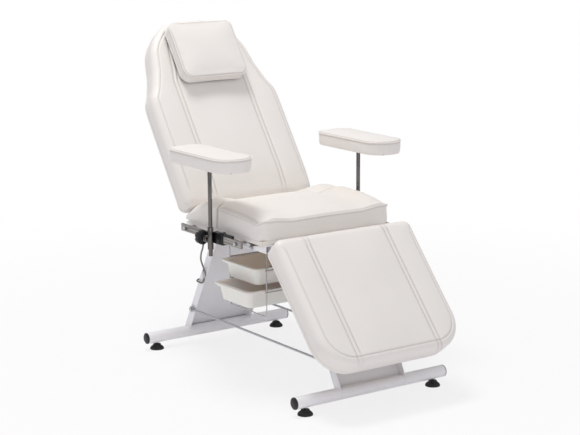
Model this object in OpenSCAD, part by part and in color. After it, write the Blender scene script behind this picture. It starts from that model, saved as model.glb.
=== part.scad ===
// Podiatry treatment chair: folding back and leg rest, armrests on rails, two pull-out trays.
// Millimetres, +Z up, the front faces -Y, +X is the side of the leg-rest strut.
// The chair stands on Z = 0 and the origin is below the middle of its whole length and width.

/* [Feet and legs] */
// Distance between the two foot tubes, front to back
feet_pitch = 920; // [900:5:940]
// Distance of a levelling foot from its end of the foot tube
foot_inset = 40; // [30:2:60]
// Outer diameter of a foot tube
foot_tube_d = 40; // [36:1:44]
// Wall of a foot tube
foot_tube_wall = 2; // [1.5:0.5:3]
// Length of a foot tube
foot_tube_len = 600; // [590:5:640]
// Height of a foot tube's middle above the floor
foot_tube_z = 44; // [42:1:48]
// Diameter of a levelling foot
foot_d = 50; // [42:1:60]
// Height of the bell of a levelling foot
foot_h = 18; // [14:1:18]
// Diameter of a levelling foot's stud
stud_d = 10; // [8:1:12]
// Width of a leg, a folded channel
leg_w = 264; // [240:4:280]
// Depth of a leg's flanges
leg_depth = 32; // [26:1:36]
// Sheet thickness of a leg
leg_sheet = 3; // [2:0.5:4]
// Diameter of a tie rod between the legs
tie_rod_d = 8; // [6:0.5:10]
// Height of the tie rods above the floor
tie_rod_z = 137; // [120:1:160]

/* [Seat frame] */
// Height of the top of the seat frame above the floor
seat_frame_z = 500; // [495:1:510]
// Side of the square tube of all three frames
tube_side = 25; // [25:1:26]
// Wall of the square tube
tube_wall = 2; // [1.5:0.5:3]
// Width of the seat frame over its side members
seat_frame_w = 500; // [496:1:504]
// Front end of the side members, ahead of the middle of the feet
frame_front = 232; // [228:1:234]
// Rear end of the side members, behind the middle of the feet
frame_rear = 250; // [244:1:251]
// Diameter of the hinge pins of the back and the leg rest
hinge_pin_d = 12; // [10:0.5:14]

/* [Accessory rails] */
// Height of the section of a rail
rail_h = 25; // [22:1:27]
// Thickness of a rail
rail_t = 8; // [6:0.5:9]
// Length of a rail
rail_len = 370; // [350:5:390]
// Clear space between the seat frame and a rail
rail_gap = 35; // [32:1:36]

/* [Seat cushion] */
// Reach of the seat cushion past each side of the seat frame
seat_overhang = 12; // [6:1:14]
// Height of the middle of the seat above the frame
seat_thick = 74; // [66:1:78]
// Rise of the side bolsters above the middle of the seat
bolster_rise = 33; // [20:1:40]

/* [Back] */
// Angle of the back above level in its upright stop
back_angle = 55.3; // [50:0.5:60]
// Distance along the back from its hinge to the near end of its cushion
back_start = 35; // [35:1:45]
// Length of the back cushion
back_len = 721; // [680:1:740]
// Half width of the back cushion in its lower part
back_half_w = 265; // [240:1:268]
// Thickness of the back and leg-rest cushions
cushion_t = 75; // [65:1:80]
// Half width of the head pillow
pillow_half_w = 129; // [110:1:140]
// Length of the head pillow
pillow_len = 217; // [190:1:230]
// Thickness of the head pillow
pillow_t = 55; // [40:1:65]

/* [Leg rest] */
// Angle of the leg rest below level in its lower stop
legrest_angle = 48.5; // [46:0.5:49]
// Length of the leg-rest cushion
legrest_len = 471; // [440:1:480]
// Half width of the leg-rest cushion
legrest_half_w = 273; // [250:1:280]
// Radius of the leg rest's lower corners
legrest_corner_r = 112; // [80:1:130]

/* [Armrests] */
// Gap between an accessory rail and the sleeve of an armrest post
post_gap = 3; // [2:0.25:7]
// Diameter of an armrest post
post_d = 14; // [12:0.5:16]
// Height of the underside of an armrest pad
pad_z = 735; // [715:1:750]
// Width of an armrest pad
pad_w = 140; // [120:1:150]
// Thickness of an armrest pad
pad_t = 50; // [40:1:60]
// Reach of an armrest pad in front of its post
pad_front = 190; // [160:1:200]
// Reach of an armrest pad behind its post
pad_rear = 168; // [150:1:172]
// Diameter of a clamp's star knob
knob_d = 48; // [40:1:50]

/* [Trays] */
// Length of a tray over its rim, along X
tray_len = 340; // [320:1:340]
// Width of a tray over its rim
tray_w = 216; // [200:1:217]
// Depth of a tray
tray_h = 58; // [45:1:60]
// Wall of a tray
tray_wall = 2.5; // [2:0.25:4]
// Height of the rim of the upper tray
tray_upper_z = 390; // [386:1:396]
// Height of the rim of the lower tray
tray_lower_z = 315; // [308:1:318]
// Diameter of the tray rack's wire
wire_d = 4; // [3:0.25:4.5]

/* [Springs and cable] */
// Diameter of the back's gas spring
spring_d = 22; // [18:1:24]
// Diameter of the leg-rest strut
strut_d = 17; // [14:0.5:17]
// Diameter of the release cable
cable_d = 6; // [4:0.5:7]

/* [Hidden] */
$fn = 48;

// Overrun of every cut, radial clearance of running fits, and the gap left round soft parts
overrun = 1;
fit = 0.05;
soft_gap = 0.3;
slide_gap = 0.3;
weld = 0.5;

// Bolts: half diameters of shank, head and washer, and heights
bolt_r = 4;
bolt_head_r = 6.5;
bolt_head_h = 5;
rivet_nut_r = 4.4;
foot_spread = foot_tube_len - 2 * foot_inset;
pin_rim = 2;
nut_h = 6.5;
washer_r = 9;
washer_h = 2;

// Legs
leg_top_y = 237.5;
leg_foot_offset = 6.5;
leg_foot_y = feet_pitch / 2 + leg_foot_offset;
leg_plate_t = 5;
leg_plate_lip = 3;
leg_plate_inner_y = 188;
leg_plate_outer_y = 258;
leg_bolt_x = 100;
leg_bottom_clear = 2;
frame_under = seat_frame_z - tube_side;
plate_under = frame_under - leg_plate_t;
leg_lean = atan((leg_foot_y - leg_top_y) / (plate_under - foot_tube_z));
leg_stock = 2 * (plate_under - foot_tube_z);
rod_y = leg_centre_y(tie_rod_z);
rod_gap = 2;
rod_x = leg_w / 2 + tie_rod_d / 2 + rod_gap;
eye_t = 5;
eye_r = 11;
cap_plug = 15;
cap_rim = 3;
cap_dome = 4;
cap_dome_share = 0.7;
boss_wall = 4;
stud_boss_r = stud_d / 2 + boss_wall;
stud_boss_h = 12;
// Points of a levelling foot's side: share of its radius, share of its height
bell_shares = [[1, 0.17], [0.92, 0.4], [0.66, 0.72], [0.56, 0.78], [0.56, 1]];

// Seat frame
side_out = seat_frame_w / 2;
side_in = side_out - tube_side;
seat_half_w = side_out + seat_overhang;
cross_y = 205;
hanger_rear_y = 107;
hanger_front_y = -115;
lug_t = 6;
hinge_z = seat_frame_z - tube_side / 2;
back_hinge_y = 264;
legrest_hinge_y = -245.4;
end_sleeve_len = 24;
end_sleeve_t = 2;
pin_head_t = 4;
bush_wall = 3;
bush_r = hinge_pin_d / 2 + bush_wall;

// Rails
rail_in = side_out + rail_gap;
rail_out = rail_in + rail_t;
rail_mid_y = 35;
rail_z = 493.5;
rail_rear_inset = 24;
rail_front_inset = 33;
rail_bolt_rear_y = rail_mid_y + rail_len / 2 - rail_rear_inset;
rail_bolt_front_y = rail_mid_y - rail_len / 2 + rail_front_inset;
spacer_r = 6;
side_bolt_y = -150;
side_bolt_drop = 5;
side_bolt_z = hinge_z - side_bolt_drop;

// Cushions: seat
board_t = 12;
seat_crown = 3;
seat_back_gap = 2.5;
seat_front_y = -228;
seat_split_y = 41;
seat_rear_y = 257;
roll = 20;
tuck = 4;
// Shares of the height and of the rolled edge at the points of a cushion's side
side_low_share = 0.2;
side_mid_share = 0.5;
edge_share = 0.13;
edge_mid_share = 0.5;
seat_side_shares = [0.25, 0.55, 0.8];
seat_edge_from = 7;
seat_edge_drop = 6;
seat_half_shares = [0, 0.23, 0.46, 0.64, 0.72, 0.79, 0.85, 0.91, 0.96];
seat_rise_shares = [0, 0.02, 0.06, 0.2, 0.55, 0.88, 1, 0.9, 0.6];
// Each row: place along the cushion, share of the bolster's rise, share of the height, width
front_shares = [
    [0, 0, 0.8, 0.955], [0.012, 0.2, 0.9, 0.975], [0.04, 0.4, 0.965, 0.992],
    [0.1, 0.62, 1, 1], [0.22, 0.8, 1, 1], [0.44, 0.92, 1, 1], [0.68, 1, 1, 1], [0.85, 1, 1, 1],
    [0.92, 0.85, 0.98, 1], [0.965, 0.6, 0.93, 1], [0.99, 0.3, 0.84, 0.998], [1, 0, 0.7, 0.99]
];
rear_shares = [
    [0, 0, 0.7, 0.985], [0.02, 0.35, 0.86, 0.995], [0.06, 0.7, 0.95, 1], [0.13, 0.95, 1, 1],
    [0.3, 0.85, 1, 1], [0.5, 0.5, 0.99, 1], [0.66, 0.2, 0.96, 1], [0.74, 0.05, 0.93, 1],
    [0.85, 0, 0.9, 1], [0.96, 0, 0.85, 1], [1, 0, 0.8, 0.99]
];

// Cushions: back and leg rest
crown = 7;
channel_w = 16;
channel_dip = 6;
channel_reach_share = 0.62;
end_drop_share = 0.8;
crown_drop_share = 0.3;
crown_shares = [0.4, 0.55, 0.6, 0.65, 0.9];
back_channel_x = 145;
legrest_channel_x = 158;
legrest_start = 3;
legrest_top_r = 28;
legrest_top_share = 0.9;
legrest_middle_shares = [0.2, 0.4, 0.6];
corner_steps = 6;
// Each row: place along the back cushion, share of its half width
back_outline_shares = [
    [0, 0.985], [0.008, 0.995], [0.03, 1], [0.15, 1], [0.3, 1], [0.43, 1], [0.54, 0.996],
    [0.584, 0.98], [0.61, 0.945], [0.638, 0.906], [0.688, 0.853], [0.733, 0.811], [0.778, 0.785],
    [0.834, 0.747], [0.86, 0.718], [0.89, 0.67], [0.918, 0.61], [0.945, 0.547], [0.966, 0.475],
    [0.98, 0.4], [0.991, 0.32], [1, 0.2]
];
pillow_start = 494;
pillow_corner_r = 42;
pillow_rim = 12;
pillow_side_shares = [0.15, 0.5, 0.85];
pillow_top_share = 0.6;
pillow_crown_share = 0.7;

// Frames of the back and the leg rest
panel_gap = 1.5;
panel_tube_x = side_in - lug_t - panel_gap - tube_side / 2;
panel_tube_root = 14;
back_tube_end = 466;
back_cross_ys = [46, 175, 453];
legrest_tube_end = 400;
legrest_cross_ys = [185, 387];

// Back gas spring: lower pivot, upper pivot on the back, ends and clearances
spring_low = [375, 280];
spring_up_y = 175;
spring_up_z = -40;
spring_ear_x = 12;
spring_ear_t = 6;
spring_ear_r = 20;
spring_hole_r = 15;
spring_pin_r = 5;
spring_cross_r = 4;
spring_washer_r = 17;
spring_rod_r = 5;
spring_past_pivot = 14;
spring_slack = 1;
spring_cap = 3;
spring_gland = 5;
spring_piston = 6;
piston_gap = 0.1;
spring_eye_r = 10;
spring_eye_gap = 0.5;
spring_head = 26;
spring_wall = 2;
spring_up = on_back_yz(spring_up_y, spring_up_z);
spring_len = norm(spring_up - spring_low);
// With the back laid flat the cylinder has come down by the stroke, and just clears the rod's head
spring_flat = [back_hinge_y + spring_up_y, hinge_z + spring_up_z];
spring_stroke = spring_len - norm(spring_flat - spring_low);
spring_bottom = spring_stroke + spring_head + spring_slack;
spring_rod_len = spring_bottom + spring_gland + spring_piston + spring_slack;
spring_angle = atan2(spring_up[1] - spring_low[1], spring_up[0] - spring_low[0]);
// The lower pivot of the back spring in the rear leg's own frame: behind the web, up the leg
spring_low_leg = [
    (spring_low[0] - leg_foot_y) * cos(leg_lean) + (spring_low[1] - foot_tube_z) * sin(leg_lean),
    (spring_low[1] - foot_tube_z) * cos(leg_lean) - (spring_low[0] - leg_foot_y) * sin(leg_lean)
];
bracket_r = 11;
bracket_plate = 4;
bracket_w = 48;
bracket_h = 52;

// Leg-rest strut: pivot under the seat frame and pivot on the leg rest's lever plate
strut_low = [0, 450];
strut_up_y = 60;
strut_up_z = -62.5;
strut_plate_t = 6;
strut_eye_half = 4;
strut_side_gap = 0.5;
strut_x = panel_tube_x - tube_side / 2 - strut_plate_t - strut_eye_half - strut_side_gap;
strut_plate_r = 17;
strut_hole_r = 11;
strut_pin_r = 5;
strut_cross_r = 4;
strut_washer_r = 14;
strut_rod_r = 4;
strut_rod_len = 200;
strut_body_end = 150;
strut_eye_r = 9;
strut_hanger_t = 6;
strut_hanger_w = 36;
strut_up = on_legrest_yz(strut_up_y, strut_up_z);
strut_len = norm(strut_up - strut_low);
strut_angle = atan2(strut_up[1] - strut_low[1], strut_up[0] - strut_low[0]);

// Clamps of the armrests
sleeve_r = 10;
post_x = rail_out + post_gap + sleeve_r;
post_y = 12;
post_low = 431;
sleeve_low = 454;
sleeve_high = 528;
clamp_rear = 13;
clamp_front = -44;
clamp_wall_in = 6;
clamp_wall_out = post_gap - slide_gap;
clamp_top = 6;
clamp_rib_n = 4;
clamp_rib_w = 2.5;
clamp_rib_d = 1.2;
ear_t = 18;
ear_reach = 26;
ear_h = 20;
ear_slot = 1.6;
knob_offset = 8;
knob_x = post_x + sleeve_r + knob_offset;
knob_t = 16;
knob_hub_r = 8;
knob_hub_len = 7;
knob_lobes = 6;
knob_lobe_r = 5;
knob_lobe_share = 0.4;
screw_r = 3;
cam_y = -36;
cam_r = 4;
cam_boss_r = 6;
cam_pin_r = 2.5;
cam_lever_reach = 63;
cam_lever_w = 7.4;
pad_board_t = 15;
pad_bore = 13;
pad_corner_r = 45;
pad_seam = 2;
pad_middle_shares = [0.5];
// Rows from the side to the middle: share of the half width or height
pad_height_shares = [0.4, 0.86, 0.93, 0.985];

// Tray rack
rack_inset = 55;
rack_x = side_in - rack_inset;
rack_low = 228;
rack_bend = 12;
rack_wire_rise = 9;
rail_wire_half = 5;
tray_mid_y = (hanger_rear_y + hanger_front_y) / 2;
tray_upper_out = 43;
tray_lower_out = 73;
tray_rim_t = 5;
tray_band = 6.5;
tray_band_h = 6;
tray_draft = 8;
tray_r = 20;

// Release lever and cable. The cable's points are places chosen along its real route.
lever_box = [22, 46, 10];
lever_y = 170;
lever_inset = 2;
lever_x = -side_out + lever_box[0] / 2 + lever_inset;
lever_pin_x = 6;
lever_pin_z = 454;
lever_pin_r = 2.5;
lever_barrel_r = 4.5;
lever_reach = 20;
lever_t = 3;
lever_tab = 5;
lever_wire_r = 0.8;
cable_top_z = 446;
ferrule_gap = 6;
cable_gap = 0.6;
ferrule_x = -leg_w / 2 - ferrule_gap;
upper_route = [
    [lever_x, 170, 446], [lever_x, 170, 432], [lever_x + 9, 190, 412], [lever_x + 25, 224, 390],
    [ferrule_x - 48, 270, 356], [ferrule_x - 22, 304, 328], [ferrule_x - 8, 321, 314],
    [ferrule_x, 329, 304], [ferrule_x, 329, 296.3]
];
lower_route = [
    [ferrule_x, 329, 269.7], [ferrule_x, 329.9, 263.6], [ferrule_x, 332.9, 257.2],
    [ferrule_x, 338, 251.8], [ferrule_x, 345, 248.7], [ferrule_x, 353, 247.8], [ferrule_x, 361, 248],
    [ferrule_x, 370, 248.3], [ferrule_x + 1.8, 378.2, 248.8], [ferrule_x + 7, 384.9, 249.5],
    [ferrule_x + 14.5, 388.8, 250.6], [ferrule_x + 23.5, 389.5, 252.5], [ferrule_x + 35, 388.8, 256],
    [-90, 387, 261.5], [-74, 384.5, 270], [-57, 381, 281], [-41, 378, 291.5], [-26, 375.6, 298],
    [-12.6, 375, 299]
];
route_steps = 3;
cable_sides = 10;
ferrule_r = 5.5;
ferrule_foot_t = 2;
ferrule_z = [270, 296];
ferrule_at = [ferrule_x, 329];

// Shift that brings the middle of the whole length over the origin
back_top_yz = on_back_yz(back_start + back_len, tube_side / 2);
legrest_low_yz = on_legrest_yz(legrest_start + legrest_len, tube_side / 2 + cushion_t);
origin_shift = -(back_top_yz[0] + legrest_low_yz[0]) / 2;

function leg_centre_y(z) = leg_foot_y - (z - foot_tube_z) * tan(leg_lean);
function on_back_yz(y, z) = [
    back_hinge_y + y * cos(back_angle) - z * sin(back_angle),
    hinge_z + y * sin(back_angle) + z * cos(back_angle)
];
function on_legrest_yz(y, z) = [
    legrest_hinge_y - y * cos(legrest_angle) - z * sin(legrest_angle),
    hinge_z - y * sin(legrest_angle) + z * cos(legrest_angle)
];
// How far a round corner of radius r draws in, at distance d from its end
function corner_in(d, r) = d >= r ? 0 : r - sqrt(max(0, r * r - (r - d) * (r - d)));

// Places along a length whose two ends have round corners of radii r0 and r1, n steps to a corner
function round_ys(length, r0, r1, n, middle) = concat(
    [for (k = [0:n]) r0 * (1 - cos(k * 90 / n))],
    [for (m = middle) m * length],
    [for (k = [n:-1:0]) length - r1 * (1 - cos(k * 90 / n))]
);
back_ys = [for (s = back_outline_shares) s[0] * back_len];
back_ws = [for (s = back_outline_shares) s[1] * back_half_w];
legrest_ys = round_ys(legrest_len, legrest_top_r, legrest_corner_r, corner_steps,
    legrest_middle_shares);
legrest_ws = [
    for (y = legrest_ys) legrest_half_w - corner_in(y, legrest_top_r) * legrest_top_share
        - corner_in(legrest_len - y, legrest_corner_r)
];
pad_len = pad_front + pad_rear;
pad_front_r = pad_w / 2 - pad_seam;
pad_ys = round_ys(pad_len, pad_front_r, pad_corner_r, corner_steps, pad_middle_shares);
pad_ws = [
    for (y = pad_ys) pad_w / 2 - corner_in(y, pad_front_r)
        - corner_in(pad_len - y, pad_corner_r)
];

// One ring of a cushion from its right half, which runs from the bottom's middle to the top's
function ring(half, y) = concat(
    [for (p = half) [p[0], y, p[1]]],
    [for (i = [len(half) - 2:-1:0]) [-half[i][0], y, half[i][1]]]
);
// Side points shared by all cushions: bottom edge, drawn-in side and rolled top edge
function side_half(w, top, r) = [
    [w - tuck, 0], [w - tuck / 4, top * side_low_share], [w - tuck / 2, top * side_mid_share],
    [w, top - r], [w - r * edge_share, top - r * edge_mid_share],
    [w - r * edge_mid_share, top - r * edge_share]
];
// Skin through rings of equal length. A symmetric ring's ends are closed by strips across it.
module loft(rings, symmetric = true) {
    n = len(rings[0]);
    m = len(rings);
    points = [for (r = rings) for (p = r) p];
    walls = [
        for (i = [0:m - 2]) for (j = [0:n - 1])
            let (a = i * n + j, b = i * n + (j + 1) % n, c = a + n, d = b + n)
                each [[a, b, d], [a, d, c]]
    ];
    strips = [
        for (i = [0:(n - 3) / 2])
            let (a = i, b = i + 1, c = n - 2 - i, d = n - 1 - i)
                each (b == c ? [[a, d, b]] : [[a, d, c], [a, c, b]])
    ];
    fan = [for (i = [1:n - 2]) [0, i + 1, i]];
    first = symmetric ? strips : fan;
    last = [for (f = first) [for (k = [2:-1:0]) f[k] + (m - 1) * n]];
    polyhedron(points = points, faces = concat(walls, first, last), convexity = 6);
}

// Padding of the back or the leg rest on its board. ys are places along it, ws the half widths
// there, and xs is the middle of a sewn channel.
module panel_padding(ys, ws, xs) {
    length = ys[len(ys) - 1];
    full = cushion_t - board_t;
    translate([0, 0, board_t]) loft([
        for (i = [0:len(ys) - 1])
            let (
                w = ws[i],
                drop = corner_in(min(ys[i], length - ys[i]), roll) * end_drop_share,
                top = full - drop,
                c = min(xs, w * channel_reach_share),
                dip = max(0, channel_dip - drop),
                bulge = crown - drop * crown_drop_share
            )
            ring(concat(side_half(w, top, roll * end_drop_share), [
                [(c + w) / 2, top + bulge * crown_shares[0]],
                [c + channel_w / 2, top + bulge * crown_shares[1]],
                [c, top + bulge * crown_shares[2] - dip],
                [c - channel_w / 2, top + bulge * crown_shares[3]],
                [c / 2, top + bulge * crown_shares[4]],
                [0, top + bulge]
            ]), ys[i])
    ]);
}

// Plywood board under padding, drawn in from the padding's outline
module panel_board(ys, ws, t) {
    last = len(ys) - 1;
    inset_ys = concat([ys[0] + tuck], [for (i = [1:last - 1]) ys[i]], [ys[last] - tuck]);
    rows = [for (i = [0:last]) if (i == 0 || i == last
            || (ys[i] > ys[0] + tuck && ys[i] < ys[last] - tuck)) [max(ws[i] - tuck, ws[i] / 2), inset_ys[i]]];
    linear_extrude(t) polygon(concat(
        rows, [for (i = [len(rows) - 1:-1:0]) [-rows[i][0], rows[i][1]]]
    ));
}

// Height over the seat's board of the face of the back cushion's lower end, at place y
function back_end_height(y) = hinge_z - seat_frame_z - board_t
    + (back_start - seat_back_gap - (y - back_hinge_y) * cos(back_angle)) / sin(back_angle);

module seat_padding(y0, y1, shares) {
    translate([0, 0, seat_frame_z + board_t]) loft([
        for (s = shares)
            let (
                y = y0 + (y1 - y0) * s[0],
                top = min((seat_thick - board_t) * s[2], back_end_height(y) - seat_crown),
                rise = bolster_rise * s[1],
                w = seat_half_w * s[3]
            )
            ring(concat(
                [[w - tuck, 0], [w, top * seat_side_shares[0]],
                    [w - tuck / 2, top * seat_side_shares[1]], [w, top * seat_side_shares[2]]],
                [for (i = [len(seat_half_shares) - 1:-1:0])
                    let (x = seat_half_shares[i])
                        [w * x, top + rise * seat_rise_shares[i] + seat_crown * (1 - x)
                            - (i > seat_edge_from ? seat_edge_drop : 0)]]
            ), y)
    ]);
}

module centred_box(size, base = 0) {
    translate([-size[0] / 2, -size[1] / 2, base]) cube(size);
}

module along_x(r, x0, x1) {
    translate([x0, 0, 0]) rotate([0, 90, 0]) cylinder(r = r, h = x1 - x0);
}

module along_y(r, y0, y1) {
    translate([0, y0, 0]) rotate([-90, 0, 0]) cylinder(r = r, h = y1 - y0);
}

// Square tube with its bore, from x0 to x1 or y0 to y1, on the line z = 0
module tube_along_x(x0, x1) {
    difference() {
        translate([x0, -tube_side / 2, -tube_side / 2]) cube([x1 - x0, tube_side, tube_side]);
        translate([x0 - overrun, -tube_side / 2 + tube_wall, -tube_side / 2 + tube_wall])
            cube([x1 - x0 + 2 * overrun, tube_side - 2 * tube_wall, tube_side - 2 * tube_wall]);
    }
}

module tube_along_y(y0, y1) {
    difference() {
        translate([-tube_side / 2, y0, -tube_side / 2]) cube([tube_side, y1 - y0, tube_side]);
        translate([-tube_side / 2 + tube_wall, y0 - overrun, -tube_side / 2 + tube_wall])
            cube([tube_side - 2 * tube_wall, y1 - y0 + 2 * overrun, tube_side - 2 * tube_wall]);
    }
}

module on_back() {
    translate([0, back_hinge_y, hinge_z]) rotate([back_angle, 0, 0]) children();
}

module on_legrest() {
    translate([0, legrest_hinge_y, hinge_z]) rotate([legrest_angle, 0, 0]) children();
}

module both_sides() {
    for (side = [-1, 1]) scale([side, 1, 1]) children();
}

module foot_tube(end) {
    color("whitesmoke") translate([0, end * feet_pitch / 2, foot_tube_z]) difference() {
        union() {
            difference() {
                along_x(foot_tube_d / 2, -foot_tube_len / 2, foot_tube_len / 2);
                along_x(foot_tube_d / 2 - foot_tube_wall, -foot_tube_len / 2 - overrun,
                        foot_tube_len / 2 + overrun);
            }
            for (side = [-1, 1]) translate([side * foot_spread / 2, 0, -foot_tube_d / 2 + weld])
                cylinder(r = stud_boss_r, h = stud_boss_h);
        }
        for (side = [-1, 1])
            translate([side * foot_spread / 2, 0, -foot_tube_d / 2 - overrun])
                cylinder(r = stud_d / 2 + fit, h = stud_boss_h + 2 * overrun + weld);
    }
}

module tube_caps() {
    color("black") for (end = [-1, 1]) for (side = [-1, 1])
        translate([side * foot_tube_len / 2, end * feet_pitch / 2, foot_tube_z])
            rotate([0, side * 90, 0]) union() {
                translate([0, 0, -cap_plug])
                    cylinder(r = foot_tube_d / 2 - foot_tube_wall - fit, h = cap_plug + overrun);
                cylinder(r = foot_tube_d / 2, h = cap_rim);
                translate([0, 0, cap_rim])
                    cylinder(r1 = foot_tube_d / 2, r2 = foot_tube_d / 2 * cap_dome_share,
                             h = cap_dome);
            }
}

module levelling_foot(side, end) {
    r = foot_d / 2;
    color("black") translate([side * foot_spread / 2, end * feet_pitch / 2, 0]) union() {
        rotate_extrude() polygon([
            [0, 0], [r, 0], for (s = bell_shares) [r * s[0], foot_h * s[1]], [0, foot_h]
        ]);
        cylinder(r = stud_d / 2, h = foot_tube_z - foot_tube_d / 2 + stud_boss_h - overrun);
    }
}

module leg(end) {
    color("whitesmoke") difference() {
        union() {
            intersection() {
                translate([0, end * leg_foot_y, foot_tube_z]) rotate([end * leg_lean, 0, 0])
                    difference() {
                        centred_box([leg_w, leg_depth, leg_stock], -leg_stock / 4);
                        translate([-leg_w / 2 + leg_sheet, -leg_depth / 2 - overrun, -leg_stock])
                            cube([leg_w - 2 * leg_sheet, leg_depth - leg_sheet + overrun,
                                  3 * leg_stock]);
                    }
                centred_box([2 * leg_w, 2 * feet_pitch, plate_under - foot_tube_z
                             - leg_bottom_clear + weld], foot_tube_z + leg_bottom_clear);
            }
            translate([-leg_w / 2 - leg_plate_lip, end > 0 ? leg_plate_inner_y : -leg_plate_outer_y,
                       plate_under])
                cube([leg_w + 2 * leg_plate_lip, leg_plate_outer_y - leg_plate_inner_y,
                      leg_plate_t]);
        }
        translate([0, end * feet_pitch / 2, foot_tube_z])
            along_x(foot_tube_d / 2 + fit, -leg_w, leg_w);
        translate([0, end * rod_y, tie_rod_z]) along_x(bolt_r + fit, -leg_w, leg_w);
        for (side = [-1, 1])
            translate([side * leg_bolt_x, end * cross_y, plate_under - overrun])
                cylinder(r = bolt_r + fit, h = leg_plate_t + 2 * overrun);
    }
}

module tie_rod(side) {
    color("silver") translate([side * rod_x, 0, tie_rod_z]) difference() {
        union() {
            along_y(tie_rod_d / 2, -rod_y + eye_r - weld, rod_y - eye_r + weld);
            for (end = [-1, 1]) translate([0, end * rod_y, 0])
                along_x(eye_r, -eye_t / 2, eye_t / 2);
        }
        for (end = [-1, 1]) translate([0, end * rod_y, 0]) along_x(bolt_r + fit, -eye_r, eye_r);
    }
}

module rod_bolts() {
    eye_out = rod_x + eye_t / 2;
    eye_in = rod_x - eye_t / 2;
    leg_in = leg_w / 2 - leg_sheet;
    color("silver") both_sides() for (end = [-1, 1])
        translate([0, end * rod_y, tie_rod_z]) {
            union() {
                along_x(bolt_r, leg_in - nut_h, eye_out + weld);
                along_x(bolt_head_r, eye_out, eye_out + bolt_head_h);
                along_x(bolt_head_r, leg_in - nut_h, leg_in);
            }
            difference() {
                along_x(washer_r, leg_w / 2, eye_in);
                along_x(bolt_r + fit, leg_in, eye_out);
            }
        }
}

module leg_bolts() {
    color("silver") for (end = [-1, 1]) for (side = [-1, 1])
        translate([side * leg_bolt_x, end * cross_y, 0]) union() {
            translate([0, 0, plate_under - bolt_head_h])
                cylinder(r = bolt_head_r, h = bolt_head_h);
            translate([0, 0, plate_under - weld])
                cylinder(r = bolt_r, h = leg_plate_t + tube_wall + nut_h + weld);
            translate([0, 0, frame_under + tube_wall]) cylinder(r = bolt_head_r, h = nut_h);
        }
}

module seat_frame() {
    color("whitesmoke") translate([0, 0, hinge_z]) difference() {
        union() {
            both_sides() {
                translate([side_out - tube_side / 2, 0, 0]) tube_along_y(-frame_front, frame_rear);
                hinge_lug(cross_y + tube_side / 2, back_hinge_y);
                hinge_lug(-cross_y - tube_side / 2, legrest_hinge_y);
            }
            for (y = [-cross_y, hanger_front_y, hanger_rear_y, cross_y])
                translate([0, y, 0]) tube_along_x(-side_in - weld, side_in + weld);
            strut_hanger();
        }
        both_sides() {
            for (y = [back_hinge_y, legrest_hinge_y]) translate([0, y, 0])
                along_x(hinge_pin_d / 2 + fit, side_in - 2 * lug_t, side_in + overrun);
            for (y = [rail_bolt_front_y, rail_bolt_rear_y])
                translate([0, y, rail_z - hinge_z])
                    along_x(bolt_r + fit, side_out - 2 * tube_wall, side_out + overrun);
            translate([0, side_bolt_y, side_bolt_z - hinge_z])
                along_x(bolt_r + fit, side_out - 2 * tube_wall, side_out + overrun);
            for (y = [-cross_y, cross_y]) translate([leg_bolt_x, y, -tube_side])
                cylinder(r = bolt_r + fit, h = tube_side);
            for (y = [hanger_front_y, hanger_rear_y]) translate([rack_x, y, -tube_side])
                cylinder(r = wire_d / 2 + fit, h = tube_side);
        }
        translate([0, strut_low[0], strut_low[1] - hinge_z])
            along_x(strut_pin_r + fit, side_in - overrun, side_out);
    }
}

// Plate on the inside of a side member that carries a hinge pin past the member's end
module hinge_lug(y0, y1) {
    translate([side_in - lug_t, 0, 0]) union() {
        translate([0, min(y0, y1), -tube_side / 2]) cube([lug_t, abs(y1 - y0), tube_side]);
        translate([0, y1, 0]) along_x(tube_side / 2, 0, lug_t);
    }
}

module strut_hanger() {
    low = strut_low[1] - hinge_z;
    translate([side_in, strut_low[0], 0]) union() {
        translate([0, -strut_hanger_w / 2, low])
            cube([strut_hanger_t, strut_hanger_w, -tube_side / 2 - low + weld]);
        translate([0, 0, low]) along_x(strut_hanger_w / 2, 0, strut_hanger_t);
    }
}

// Plastic end caps that wrap the rear ends of the side members outside, below and above
module frame_end_sleeves() {
    color("black") both_sides()
        translate([side_in, frame_rear - end_sleeve_len, hinge_z - tube_side / 2]) difference() {
            translate([0, 0, -end_sleeve_t])
                cube([tube_side + end_sleeve_t, end_sleeve_len + end_sleeve_t,
                      tube_side + 2 * end_sleeve_t]);
            translate([-overrun, -overrun, 0])
                cube([tube_side + overrun, end_sleeve_len + overrun, tube_side]);
        }
}

module rail(side) {
    color("silver") scale([side, 1, 1]) difference() {
        translate([rail_in, rail_mid_y - rail_len / 2, rail_z - rail_h / 2])
            cube([rail_t, rail_len, rail_h]);
        for (y = [rail_bolt_front_y, rail_bolt_rear_y]) translate([0, y, rail_z])
            along_x(bolt_r + fit, rail_in - overrun, rail_out + overrun);
    }
}

module rail_bolts() {
    color("silver") both_sides() for (y = [rail_bolt_front_y, rail_bolt_rear_y])
        translate([0, y, rail_z]) {
            union() {
                along_x(bolt_head_r, rail_out, rail_out + bolt_head_h);
                along_x(bolt_r, side_out - tube_wall - nut_h, rail_out + weld);
                along_x(rivet_nut_r, side_out - tube_wall - nut_h, side_out - tube_wall);
            }
            difference() {
                along_x(spacer_r, side_out, rail_in);
                along_x(bolt_r + fit, side_out - overrun, rail_in + overrun);
            }
        }
}

module side_bolts() {
    color("silver") both_sides() translate([0, side_bolt_y, side_bolt_z]) union() {
        along_x(bolt_r, side_out - tube_wall - nut_h, side_out + washer_h + weld);
        along_x(washer_r, side_out, side_out + washer_h);
        along_x(bolt_head_r, side_out + washer_h, side_out + washer_h + bolt_head_h);
    }
}

module seat_board() {
    w = 2 * (seat_half_w - tuck);
    rear = frame_rear - end_sleeve_len - soft_gap;
    color("burlywood") translate([-w / 2, seat_front_y + tuck, seat_frame_z])
        cube([w, rear - seat_front_y - tuck, board_t]);
}

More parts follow.
